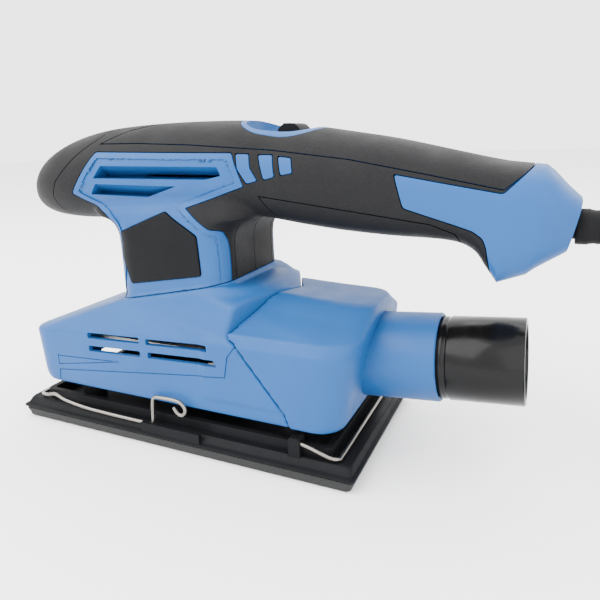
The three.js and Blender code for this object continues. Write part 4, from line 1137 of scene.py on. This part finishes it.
# ---- operators ------------------------------------------------------------------------------
class SANDER_OT_stage(Operator):
    """Set the floor, the light and the camera"""
    bl_idname = "sander.stage"
    bl_label = "Stage and camera"

    def execute(self, context):
        set_stage()
        set_camera()
        return {"FINISHED"}


class SANDER_OT_materials(Operator):
    """Make every finish of the sander"""
    bl_idname = "sander.materials"
    bl_label = "Materials"

    def execute(self, context):
        make_materials(context.scene.sander_finish)
        return {"FINISHED"}


class SANDER_OT_cord(Operator):
    """Build the sleeve, the coiled cord, its tie and its plug"""
    bl_idname = "sander.cord"
    bl_label = "Cord"

    def execute(self, context):
        cord_pieces()
        return {"FINISHED"}


class SANDER_OT_body(Operator):
    """Build the housing halves, the soft grips, the badges and the switch"""
    bl_idname = "sander.body"
    bl_label = "Upper body"

    def execute(self, context):
        body_pieces(context.scene.sander_sizes)
        return {"FINISHED"}


class SANDER_OT_base(Operator):
    """Build the base housing, the duct cover and the hose adapter"""
    bl_idname = "sander.base"
    bl_label = "Base and dust outlet"

    def execute(self, context):
        base_housing(context.scene.sander_sizes)
        duct_cover(context.scene.sander_sizes)
        hose_adapter()
        return {"FINISHED"}


class SANDER_OT_pad(Operator):
    """Build the platen and the foam sole"""
    bl_idname = "sander.pad"
    bl_label = "Pad"

    def execute(self, context):
        platen_piece()
        sole_piece()
        return {"FINISHED"}


class SANDER_OT_clamps(Operator):
    """Build the two wire clamps"""
    bl_idname = "sander.clamps"
    bl_label = "Paper clamps"

    def execute(self, context):
        clamp_pieces(context.scene.sander_sizes)
        return {"FINISHED"}


class SANDER_OT_screws(Operator):
    """Build the housing screws"""
    bl_idname = "sander.screws"
    bl_label = "Screws"

    def execute(self, context):
        screw_pieces()
        return {"FINISHED"}


class SANDER_OT_inner(Operator):
    """Give the motor, bearings and fixings their finishes"""
    bl_idname = "sander.inner"
    bl_label = "Inner parts"

    def execute(self, context):
        dress_inner_nodes()
        return {"FINISHED"}


STEPS = [
    SANDER_OT_stage, SANDER_OT_materials, SANDER_OT_cord, SANDER_OT_body, SANDER_OT_base, SANDER_OT_pad,
    SANDER_OT_clamps, SANDER_OT_screws, SANDER_OT_inner,
]


class SANDER_PT_build(Panel):
    """Settings and build steps of the sander."""
    bl_label = "Orbital Sander"
    bl_space_type = "VIEW_3D"
    bl_region_type = "UI"
    bl_category = "Sander"

    def draw(self, context):
        for settings in (context.scene.sander_finish, context.scene.sander_sizes):
            for name in settings.__annotations__:
                self.layout.prop(settings, name)
        for step in STEPS:
            self.layout.operator(step.bl_idname)


CLASSES = [SanderFinish, SanderSizes, *STEPS, SANDER_PT_build]


def register():
    """Adds the classes and the scene's settings."""
    for item in CLASSES:
        bpy.utils.register_class(item)
    bpy.types.Scene.sander_finish = PointerProperty(type=SanderFinish)
    bpy.types.Scene.sander_sizes = PointerProperty(type=SanderSizes)


def unregister():
    """Removes the settings and the classes."""
    del bpy.types.Scene.sander_sizes, bpy.types.Scene.sander_finish
    for item in reversed(CLASSES):
        bpy.utils.unregister_class(item)


def main():
    """Builds everything in order."""
    register()
    for step in STEPS:
        getattr(bpy.ops.sander, step.bl_idname.split(".")[1])()


if __name__ == "__main__":
    main()
